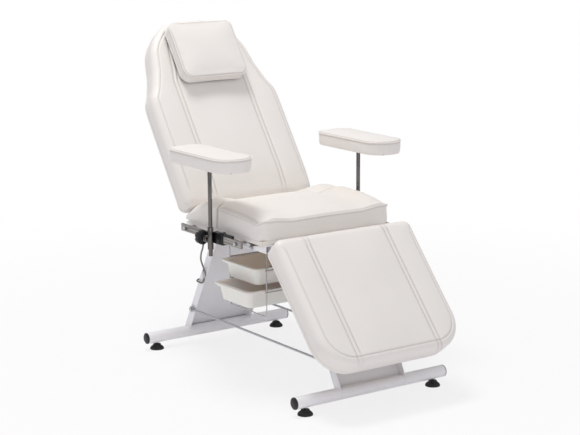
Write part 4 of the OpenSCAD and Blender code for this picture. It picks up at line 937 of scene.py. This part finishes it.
# %% Pillow gap shade strip
# rows of the strip that paints the shade in the gap under the pillow: (inset, height, share of the
# lift)
GAP_SHADE_ROWS = [(12.5, -0.45, 0), (1.9, -0.45, 0), (1.8, 1.2, 0.5), (2.1, 3.3, 1), (7.2, 0.7, 1),
              (12.5, -0.2, 1)]
points = ring_points(pillow_edge, [(inset, PILLOW_LOW + z + share * pillow_lift(pillow_edge))
                                   for inset, z, share in GAP_SHADE_ROWS])
faces = ring_faces(len(GAP_SHADE_ROWS), len(pillow_edge), closed=True)
piece("pillow_gap_shade_strip", points, faces, BACK, gap_shade_finish, "back")

# %% [markdown]
# ## Seat
# The seat has raised bolsters along both sides, which hold the sitter, and a dished middle. It
# is in two parts with a deep split between them. A cord is sewn into the seam round the front
# part, over a tall plain band, and a thinner one runs over the split. Heights come from the
# photograph: the bolsters' crest and the middle, as two lines along the seat.

# %% Seat cushions
SEAT_FLOOR, SEAT_HALF = 512.0, 262.0
FRONT_Y, SPLIT_Y, REAR_Y = (-228.0, 41.0), 41.6, 257.0
SPLIT_MIDDLE, SEAT_CAP = 41.3, 6
BOLSTER_FROM, BOLSTER_WIDE = 128, 94
PIPED_TO = FRONT_Y[1] - 9
CREST = [(-228, 585), (-208, 590), (-160, 597), (-109, 602), (-50, 604), (13, 605), (41, 603),
         (60, 603), (97, 600), (146, 586), (196, 565), (225, 550), (241, 538), (257, 525)]
MIDDLE = [(-228, 577), (-200, 583), (-140, 588), (-70, 591), (0, 591), (60, 588), (110, 581),
          (160, 570), (196, 559), (225, 546), (241, 537), (257, 524)]


def along_seat(table, y):
    """A table's line, softened"""
    table = np.array(table, float)
    return sum(np.interp(y + o, table[:, 0], table[:, 1]) for o in (-14, -7, 0, 7, 14)) / 5


def seat_height(first, last, front):
    """The seat's height over its plan, between the ends first and last of one part"""
    first_end, last_end = ((12, 7), (16, 12)) if front else ((16, 12), (10, 8))

    def height(x, y, d):
        bolster = smooth_step((np.abs(x) - BOLSTER_FROM) / BOLSTER_WIDE)
        middle = along_seat(MIDDLE, y)
        z = middle + (along_seat(CREST, y) - middle) * bolster
        z = z + 2.0 * (1 - np.minimum(1, np.abs(x) / 150) ** 2)
        z = z - roll_off(SEAT_HALF - np.abs(x), 38, 24)
        z = z - roll_off(y - first, *first_end) - roll_off(last - y, *last_end)
        if front:
            z = z + pucker(x, np.abs(y - first - 4), 0.5, 17, 14)
        return z
    return height


def seat_part(name, plan, first, last, front, node):
    """A stuffed part of the seat. Gives the row of points round the edge of its face, and its
    wall's rows."""
    height = seat_height(first, last, front)
    wall = band_rows(SEAT_FLOOR, (5, 0), (3.5, 0.02), (1.6, 0.08), (0.4, 0.2), (0.2, 0.36),
                     (1.0, 0.55), (1.2, 0.72), (0.7, 0.86), (0.3, 0.95))
    points, faces, rows, depth = sewn_form(plan, wall, [0, 1.5, 3.5, 6, 9, 13, 18, 24, 31], height)
    form, form_faces, form_rows, _ = sewn_form(
        plan, band_rows(SEAT_FLOOR, (5, 0), (0.5, 0.25), (0.8, 0.5), (0.7, 0.75)),
        [0, 8, 18, 31], height, step=13, edge_step=12)
    edge = form[form_rows[4]]
    seam = form_rows[4][edge[:, 1] < first + 3] if front else form_rows[4][:0]
    move = stuffed(points, form, form_faces, set(form_rows[0]) | set(seam), SEAT_CAP)
    # near the split and the back the cover keeps its place, and swells less
    inner_end = SPLIT_MIDDLE if front else SPLIT_Y
    calm = smooth_step(np.abs(points[:, 1] - inner_end) / 18)
    calm *= smooth_step((REAR_Y + 8 - points[:, 1]) / 60)
    move[:, 1] *= calm
    move[:, 2] *= 0.4 + 0.6 * calm
    points = points + move
    # painted shade in the split, at the foot of the wall by the rails, and under the front piping
    painted_shade = np.zeros(len(points))
    painted_shade[np.abs(points[:, 1] - SPLIT_MIDDLE) < 3] = 0.9
    painted_shade[rows[0]] = painted_shade[rows[1]] = 0.5
    if front:
        beside = (points[:, 1] < PIPED_TO) * 0.6
        painted_shade = np.maximum(painted_shade, beside * painted_edge_shade(depth, 3))
        under = rows[len(wall) - 1]
        painted_shade[under] = np.maximum(painted_shade[under], beside[under])
    cover(name, points, faces, CHAIR, "base", painted_shade, node)
    return points[rows[len(wall)]], points[rows[1:len(wall)]]


front_plan = oblong(SEAT_HALF, *FRONT_Y, 30, 7)
rear_plan = oblong(SEAT_HALF, SPLIT_Y, REAR_Y, 7, 24)
edge, wall_rows = seat_part("seat_front_upholstery", front_plan, *FRONT_Y, True,
                            "seat_front_cushion")

# %% Seat piping and rear part
sewn = edge[:, 1] < PIPED_TO
start = next(i for i in range(len(edge)) if sewn[i] and not sewn[i - 1])
piping("seat_front_piping", np.roll(edge, -start, axis=0)[:sewn.sum()], CHAIR, "base", 2.1,
       closed=False, out=0.9)
# the split's cord climbs the wall at the left corner, and crosses over to the right one
corner = np.argmin(np.hypot(edge[:, 0] + SEAT_HALF - 2, edge[:, 1] - (FRONT_Y[1] - 2)))
over = edge[(edge[:, 1] > FRONT_Y[1] - 5) & (edge[:, 0] > edge[corner, 0] + 1) & (edge[:, 0] < 0)]
over = over[np.argsort(over[:, 0])]
split_left = np.vstack([wall_rows[:, corner], over]) + (0, -1.2, 0)
split_right = (split_left * (-1, 1, 1))[::-1]
piping("seat_split_piping", np.vstack([split_left, split_right]), CHAIR, "base", 1.5, closed=False,
       out=0.5)
seat_part("seat_rear_upholstery", rear_plan, SPLIT_Y, REAR_Y, False, "seat_rear_cushion")

# %% [markdown]
# The seat's cover is drawn down over its board as well. Only this low strip of it shows, between
# the cushion and the rails, with small pleats where it turns the corners.

# %% Seat hem
edge = even(oblong(258, -224, 225.7, 3, 3), STRIP_STEP)
HEM_LEVELS = [(0.3, 514.5), (1.6, 514), (2.2, 511), (1.7, 506), (1.9, 501.5), (1.0, 499.2),
              (-1.0, 498.9), (-1.0, 499.7), (0.3, 500.2)]
wave = 0.35 * np.sin(np.arange(len(edge)) * 1.1) * np.sin(np.arange(len(edge)) * 0.37)
points = ring_points(edge, [(-(out + wave * (out > 1)), z) for out, z in HEM_LEVELS])
faces = ring_faces(len(HEM_LEVELS), len(edge), closed=True)
piece("seat_hem", points, faces, CHAIR, vinyl, "base")

# %% [markdown]
# ## Armrest pads
# Each pad is a board wrapped in foam and the same cover, round at the front. A piped seam
# runs round the top edge, and the hem is stapled under the board.

# %% Armrest pads
PAD_X, PAD_HALF, PAD_FRONT, PAD_REAR = 306, 70, -178, 180
PAD_LOW, PAD_BOARD_TOP, PAD_TOP, PAD_CAP = 735.0, 750.0, 785.0, 5
pad_hem = [(4.4, PAD_BOARD_TOP + 0.1, 0), (4.4, PAD_LOW - 0.05, 0), (24, PAD_LOW - 0.05, 0),
           (24.5, PAD_LOW - 1.0, 0), (7, PAD_LOW - 1.1, 0), (4.4, PAD_LOW - 0.5, 0),
           (3.0, PAD_LOW + 0.8, 0), (2.4, PAD_LOW + 4, 0)]
pad_wall = band_rows(PAD_LOW, (1.2, 0.22), (0.4, 0.4), (0, 0.6), (0.2, 0.8), (0.8, 0.93))


def pad_height(x, y, d):
    """A pad's height, at distance d in from its edge"""
    return (PAD_TOP - 3.0 + 2 * smooth_step(d / 55)
            - roll_off(d, 8, 5) + pucker(x + y, d, 0.35, 12, 10))


for side, sign in (("left", -1), ("right", 1)):
    plan = oblong(PAD_HALF, PAD_FRONT, PAD_REAR, 66, 45, sign * PAD_X)
    points, faces, rows, depth = sewn_form(plan, pad_hem + pad_wall,
                                           [0, 1.5, 3.5, 6.5, 10.5, 16, 23, 31], pad_height, step=7)
    form, form_faces, form_rows, _ = sewn_form(
        plan, pad_hem + pad_wall[1:4:2], [0, 8, 18, 31], pad_height, step=12, edge_step=10)
    top_row = form_rows[len(pad_hem) + 2]
    pinned = set(np.concatenate(form_rows[:len(pad_hem)])) | set(top_row)
    points = points + stuffed(points, form, form_faces, pinned, PAD_CAP)
    # painted shade beside the piping and under it
    painted_shade = painted_edge_shade(depth, 2) * 0.8
    painted_shade[rows[len(pad_hem + pad_wall) - 1]] = 0.8
    cover("armrest_upholstery_" + side, points, faces, CHAIR, "armrest_" + side, painted_shade,
          "pad_" + side)
    piping("armrest_piping_" + side, points[rows[len(pad_hem + pad_wall)]], CHAIR,
           "armrest_" + side, 2.1)

# %% [markdown]
# ## Finishes for the metal and plastic parts
# These parts arrive with the right shape, so they stay and get their finish. No real edge is
# perfectly sharp: powder fills it and a mould rounds it. A weld joins the split vertices of the
# imported mesh and a bevel then rounds each edge by a few tenths of a millimetre.

# %% Finishes of the CAD parts
EDGE_ROUND, EDGE_FROM = 0.6, math.radians(38)
SMOOTH_BELOW, WELD_MM = math.radians(32), 0.01
FINISHES = [
    (white_coat, "rear_foot_tube front_foot_tube rear_leg front_leg seat_frame frame_end_sleeves "
                 "release_bracket spring_bracket back_frame legrest_frame"),
    (black_enamel, "clamp_left clamp_right back_spring_cylinder strut_cylinder"),
    (nylon, "tube_caps clamp_lever_left clamp_lever_right knob_left knob_right release_lever"),
    (rubber, "foot_1 foot_2 foot_3 foot_4"),
    (zinc, "tie_rod_left tie_rod_right rod_bolts leg_bolts rail_bolts side_bolts rack_nuts "
           "back_hinge_pins legrest_hinge_pins spring_pins"),
    (stainless, "rail_left rail_right"),
    (chrome, "sleeve_left sleeve_right post_left post_right back_spring_rod strut_rod"),
    (wire_chrome, "tray_rack cable_ferrule"),
    (plywood, "seat_board pad_board_left pad_board_right"),
    (abs_cream, "tray_upper tray_lower")]
for finish, names in FINISHES:
    for name in names.split():
        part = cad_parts[name]
        part.data.materials.clear()
        part.data.materials.append(finish)
        part.data.shade_smooth()
        part.data.set_sharp_from_angle(angle=SMOOTH_BELOW)
        weld = part.modifiers.new("weld", "WELD")
        weld.merge_threshold = WELD_MM * MM
        bevel = part.modifiers.new("bevel", "BEVEL")
        bevel.width, bevel.segments = EDGE_ROUND * MM, 2
        bevel.limit_method, bevel.angle_limit = "ANGLE", EDGE_FROM
        bevel.use_clamp_overlap, bevel.harden_normals = True, True
    print(finish.name, "on", names)

# %% [markdown]
# ## Floor and light
# The chair stands in a photographer's cove: a seamless pale sheet, one soft box high above, a
# little to the left and behind, and a wider, weaker one in front to open the shadows. The floor
# turns white away from the chair, for camera, mirror and glass rays alike, and keeps the chair's
# shadow.

# %% Floor
FLOOR_HALF = 60.0
sheet_mesh = bpy.data.meshes.new("floor")
sheet_mesh.from_pydata([(-FLOOR_HALF, -FLOOR_HALF, 0), (FLOOR_HALF, -FLOOR_HALF, 0),
                        (FLOOR_HALF, FLOOR_HALF, 0), (-FLOOR_HALF, FLOOR_HALF, 0)], [],
                       [(0, 1, 2, 3)])
floor = in_scene("floor", sheet_mesh)
paper, tree, shader = finish_of("studio_paper", base_color=linear("F8F7F9"), roughness=0.75,
                                specular_ior_level=0.2)
place = add(tree, "TexCoord").outputs["Object"]
reach = add(tree, "VectorMath", {0: place}, operation="LENGTH")
fade = add(tree, "MapRange", {"Value": reach.outputs["Value"]}, from_min_in=0.6, from_max_in=2.9,
           to_min_in=0.75, to_max_in=1.0, interpolation_type="SMOOTHSTEP")
rays = add(tree, "LightPath").outputs
seen = add(tree, "Math", {0: rays["Is Camera Ray"], 1: rays["Is Glossy Ray"]}, operation="MAXIMUM")
seen = add(tree, "Math", {0: seen.outputs[0], 1: rays["Is Transmission Ray"]}, operation="MAXIMUM")
share = add(tree, "Math", {0: fade.outputs["Result"], 1: seen.outputs[0]}, operation="MULTIPLY")
glow = add(tree, "Emission", color_in=(1, 1, 1, 1), strength_in=1.0)
blend = add(tree, "MixShader", {0: share.outputs[0], 1: shader.outputs[0], 2: glow.outputs[0]})
tree.links.new(blend.outputs[0], tree.nodes["Material Output"].inputs["Surface"])
sheet_mesh.materials.append(paper)
print("floor", 2 * FLOOR_HALF, "m wide")

# %% Lamps
WORLD_LIGHT, KEY_WATTS, FILL_WATTS = 0.64, 96.0, 16.0
world = bpy.data.worlds.new("studio")
bpy.context.scene.world = world
world.use_nodes = True
world.node_tree.nodes["Background"].inputs["Color"].default_value = linear("F4F4F8")
world.node_tree.nodes["Background"].inputs["Strength"].default_value = WORLD_LIGHT


def soft_box(name, place, aim, width, height, watts, colour):
    """A rectangular lamp that looks from its place to its aim"""
    lamp = bpy.data.lights.new(name, "AREA")
    lamp.shape, lamp.size, lamp.size_y, lamp.energy = "RECTANGLE", width, height, watts
    lamp.color = linear(colour)[:3]
    holder = in_scene(name, lamp)
    holder.matrix_world = Matrix.Translation(place) @ (
        Vector(aim) - Vector(place)).to_track_quat("-Z", "Y").to_matrix().to_4x4()
    print(name, "at", place, watts, "W")


soft_box("key_box", (-0.7, 0.5, 4.9), (0, 0, 0.6), 1.4, 1.4, KEY_WATTS, "FFFCF9")
soft_box("front_box", (-2.6, -3.8, 2.0), (0, 0, 0.5), 2.4, 1.8, FILL_WATTS, "FFFFFF")
